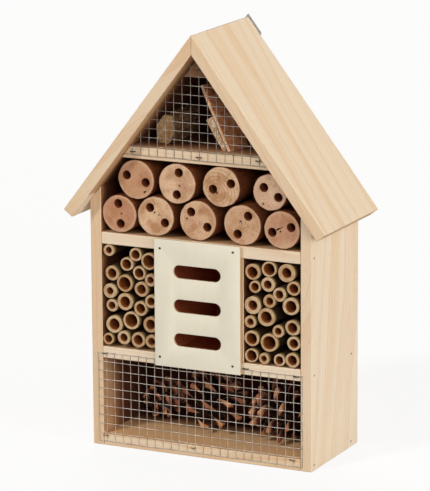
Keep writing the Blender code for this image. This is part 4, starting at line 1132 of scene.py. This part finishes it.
def make_stick(finish):
    """The split stick: a splinter that widens from its foot to a slanting torn top. A rounded
    rectangle, depth by thickness, is carried up between the solid's two long sides."""
    low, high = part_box("split_stick")
    outline = solid_points("split_stick", low.y)[:, [0, 2]]
    lows = outline[np.argsort(outline[:, 1])[:2]]
    tips = outline[np.argsort(-outline[:, 1])[:2]]
    lows, tips = lows[np.argsort(lows[:, 0])], tips[np.argsort(tips[:, 0])]
    rows = 30
    share = np.linspace(0, 1, rows)
    left = lows[0] + np.outer(share, tips[0] - lows[0])
    right = lows[1] + np.outer(share * 0.97, tips[1] - lows[1])
    middle = (left + right) / 2
    path = np.insert(middle, 1, (low.y + high.y) / 2, axis=1)
    ring = squarish(48, 0.3)
    half_thick = np.linalg.norm(right - left, axis=1) / 2 * 0.92
    half_deep = (high.y - low.y) / 2 * (1 - 0.2 * share)
    section = spread(ring[:, 0] * half_deep[:, None], ring[:, 1] * half_thick[:, None])
    places = spread(ring[:, 0], share[:, None], ring[:, 1]) * 5
    section = section * (1 + 0.05 * ripple(places, 4, 51)[..., None])
    lean = (middle[-1] - middle[0]) / np.linalg.norm(middle[-1] - middle[0])
    splinter = sweep(path, section, (lean[1], 0, -lean[0]))
    add_piece("torn_splinter", splinter, finish, ["split_stick"])


def resampled(outline, count):
    """Points at equal steps round a closed outline."""
    closed = np.concatenate([outline, outline[:1]])
    steps = np.r_[0, np.cumsum(np.linalg.norm(np.diff(closed, axis=0), axis=1))]
    wanted = np.arange(count) / count * steps[-1]
    return np.column_stack([np.interp(wanted, steps, closed[:, i]) for i in (0, 1)])


def make_block(name, node, finish, rough, seed):
    """A rough block: the outline of its solid, carried along Y from the back to the front and drawn in
    over both ends, with torn fibres as ripples on its sides and on its front."""
    low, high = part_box(node)
    outline = solid_points(node, low.y)[:, [0, 2]]
    middle = outline.mean(0)
    outline = outline[np.argsort(np.arctan2(*(outline - middle).T[::-1]))]
    ring = resampled(outline, 120)
    front = [1, 1, 0.985, 0.95, 0.8, 0.6, 0.4, 0.2, 0]
    draw = np.r_[0, np.ones(12), front][:, None]
    rows = np.r_[high.y, np.linspace(high.y, low.y + 1.2 * MM, 12), np.full(len(front), low.y)][:, None]
    flat = middle + (ring - middle) * draw[..., None]
    points = spread(flat[..., 0], rows, flat[..., 1])
    # The fibres run along Y.
    lumps = np.abs(ripple(points / MM * (1, 0.35, 1), 7, seed) * rough)
    points[..., 1] += lumps * ((draw < 1) & (rows < low.y + 0.1 * MM))
    points[..., 0::2] -= (flat - middle) * (lumps * (draw > 0.9))[..., None] / (12 * MM)
    add_piece(name, skin(points), finish, [node], sharp=50)


# ---- light, floor and camera


def make_world():
    """White behind everything, and an even, weaker light from all round."""
    world = bpy.data.worlds.new("studio")
    bpy.context.scene.world = world
    world.use_nodes = True
    tree = world.node_tree
    tree.nodes.clear()
    path = add(tree, "LightPath")
    direct = (path.outputs["Is Camera Ray"], path.outputs["Is Glossy Ray"])
    seen = add(tree, "Math", direct, operation="MAXIMUM")
    shown = add(tree, "Math", (seen, path.outputs["Is Transmission Ray"]), operation="MAXIMUM")
    white = add(tree, "Background", {"Color": "FCFCFC", "Strength": 1.0})
    ambient = add(tree, "Background", {"Color": "FFEEDC", "Strength": 0.22})
    mixed = add(tree, "MixShader", (shown, ambient, white))
    add(tree, "OutputWorld", (mixed,))


def make_floor():
    """A white paper floor. Seen directly it is mostly plain white, so that it meets the background
    without an edge, and the rest of it takes the house's shadow."""
    made, tree = new_finish("white paper floor", 0.9, 0.0)
    seen = add(tree, "LightPath").outputs["Is Camera Ray"]
    paper = add(tree, "MixRGB", (seen, "BDBDBC", "FFFFFF"))
    shader = tree.nodes["Principled BSDF"]
    tree.links.new(paper.outputs[0], shader.inputs["Base Color"])
    shown = add(tree, "Math", (seen, 0.85), operation="MULTIPLY")
    white = add(tree, "Emission", {"Color": "FFFFFF", "Strength": 1.0})
    mixed = add(tree, "MixShader", (shown, shader, white))
    tree.links.new(mixed.outputs[0], tree.nodes["Material Output"].inputs["Surface"])
    half, height = 6.0, -0.3 * MM
    mesh = bpy.data.meshes.new("floor")
    corners = [(x * half, y * half, height) for x, y in ((-1, -1), (1, -1), (1, 1), (-1, 1))]
    mesh.from_pydata(corners, [], [(0, 1, 2, 3)])
    mesh.materials.append(made)
    floor = bpy.data.objects.new("floor", mesh)
    bpy.context.scene.collection.objects.link(floor)


def make_lamp(name, towards, strength, softness):
    """A distant white lamp in the direction towards it. The softness is its width in degrees."""
    data = bpy.data.lights.new(name, "SUN")
    data.energy = strength
    data.angle = math.radians(softness)
    lamp = bpy.data.objects.new(name, data)
    lamp.rotation_euler = Vector(towards).to_track_quat("Z", "Y").to_euler()
    bpy.context.scene.collection.objects.link(lamp)


# The camera's lens in millimetres, its place, the way it looks and its roll in degrees.
LENS = 234.05
CAMERA_PLACE = (1.36618, -2.82629, 0.94035)
CAMERA_FORWARD = (-0.42575526, 0.87595221, -0.2268043)
CAMERA_ROLL = 0.356


def make_camera():
    """The camera, in front on the right and higher than the house."""
    data = bpy.data.cameras.new("camera")
    data.lens = LENS
    data.clip_end = 50
    camera = bpy.data.objects.new("camera", data)
    forward = Vector(CAMERA_FORWARD)
    level = forward.cross(Vector((0, 0, 1))).normalized()
    above = level.cross(forward)
    roll = Matrix.Rotation(math.radians(CAMERA_ROLL), 3, forward)
    axes = Matrix((roll @ level, roll @ above, -forward)).transposed()
    camera.matrix_world = Matrix.Translation(CAMERA_PLACE) @ axes.to_4x4()
    bpy.context.scene.collection.objects.link(camera)
    bpy.context.scene.camera = camera


make_camera()
dress_boards()
make_panel(cream_finish())
zinc = metal_finish("galvanised wire", "CCC4BA", "A29A90", 0.6, 6)
plate_zinc = metal_finish("zinc plated sheet", "BFC2C4", "9B9EA1", 0.35, 4)
nail_steel = metal_finish("dark nail steel", "6A645B", "3A3530", 0.5, 1.2)
dull_steel = metal_finish("tarnished staple steel", "5C554C", "34302B", 0.55, 2)
make_nails(nail_steel, metal_finish("sunk nail steel", "8E8475", "6A6054", 0.5, 1.5))
for node in ("hanger_plate", "hanger_screw_left", "hanger_screw_right"):
    dress(node, plate_zinc)
make_lower_wires(zinc)
# The attic's wire is darker: painted shade from the roof above it.
make_attic_wires(metal_finish("galvanised wire, painted shade", "B4AEA4", "8A847B", 0.65, 6))
make_staples(dull_steel, metal_finish("bright staple steel", "AFA696", "7E7567", 0.5, 2))
for number in range(1, 10):
    make_log(f"log_{number}", number)
make_canes(cane_finish())
cone_brown = pine_cone_finish()
for number, node in enumerate(CONES):
    make_cone(node, number, cone_brown)
lengthwise = (0, 0, math.radians(90))
# The bark's light orange colours are painted light, for a face that the lamps hardly reach.
bark = rough_wood_finish("rough bark, painted light", "F4B282", "BC744C", "F0D6B8", 4, lengthwise, 7)
split = rough_wood_finish("split wood", "A87C4E", "70502F", "F8E0C0", 14, (0, math.radians(60), 0), 6)
grey_split = rough_wood_finish("weathered split wood", "B28A62", "5A3A26", "DABD90", 12, lengthwise, 6)
block_bark = rough_wood_finish("barky offcut", "AE8262", "64432F", "B48864", 3, (0, 0, 0), 5)
make_slab(bark)
make_stick(split)
make_block("chunk_of_wood", "wood_chunk", grey_split, 0.8 * MM, 61)
make_block("ridge_offcut", "ridge_block", block_bark, 0.3 * MM, 62)

make_world()
make_floor()
make_lamp("key, upper left front", (-0.4, -0.85, 0.75), 1.34, 10)
make_lamp("side light, right", (1.0, -0.2, 0.24), 1.62, 28)
make_lamp("low light, right front", (0.6, -0.75, 0.35), 0.82, 25)
make_lamp("fill, behind left", (-0.45, 0.85, 0.5), 1.0, 40)

scene = bpy.context.scene
scene.view_settings.view_transform = "Standard"
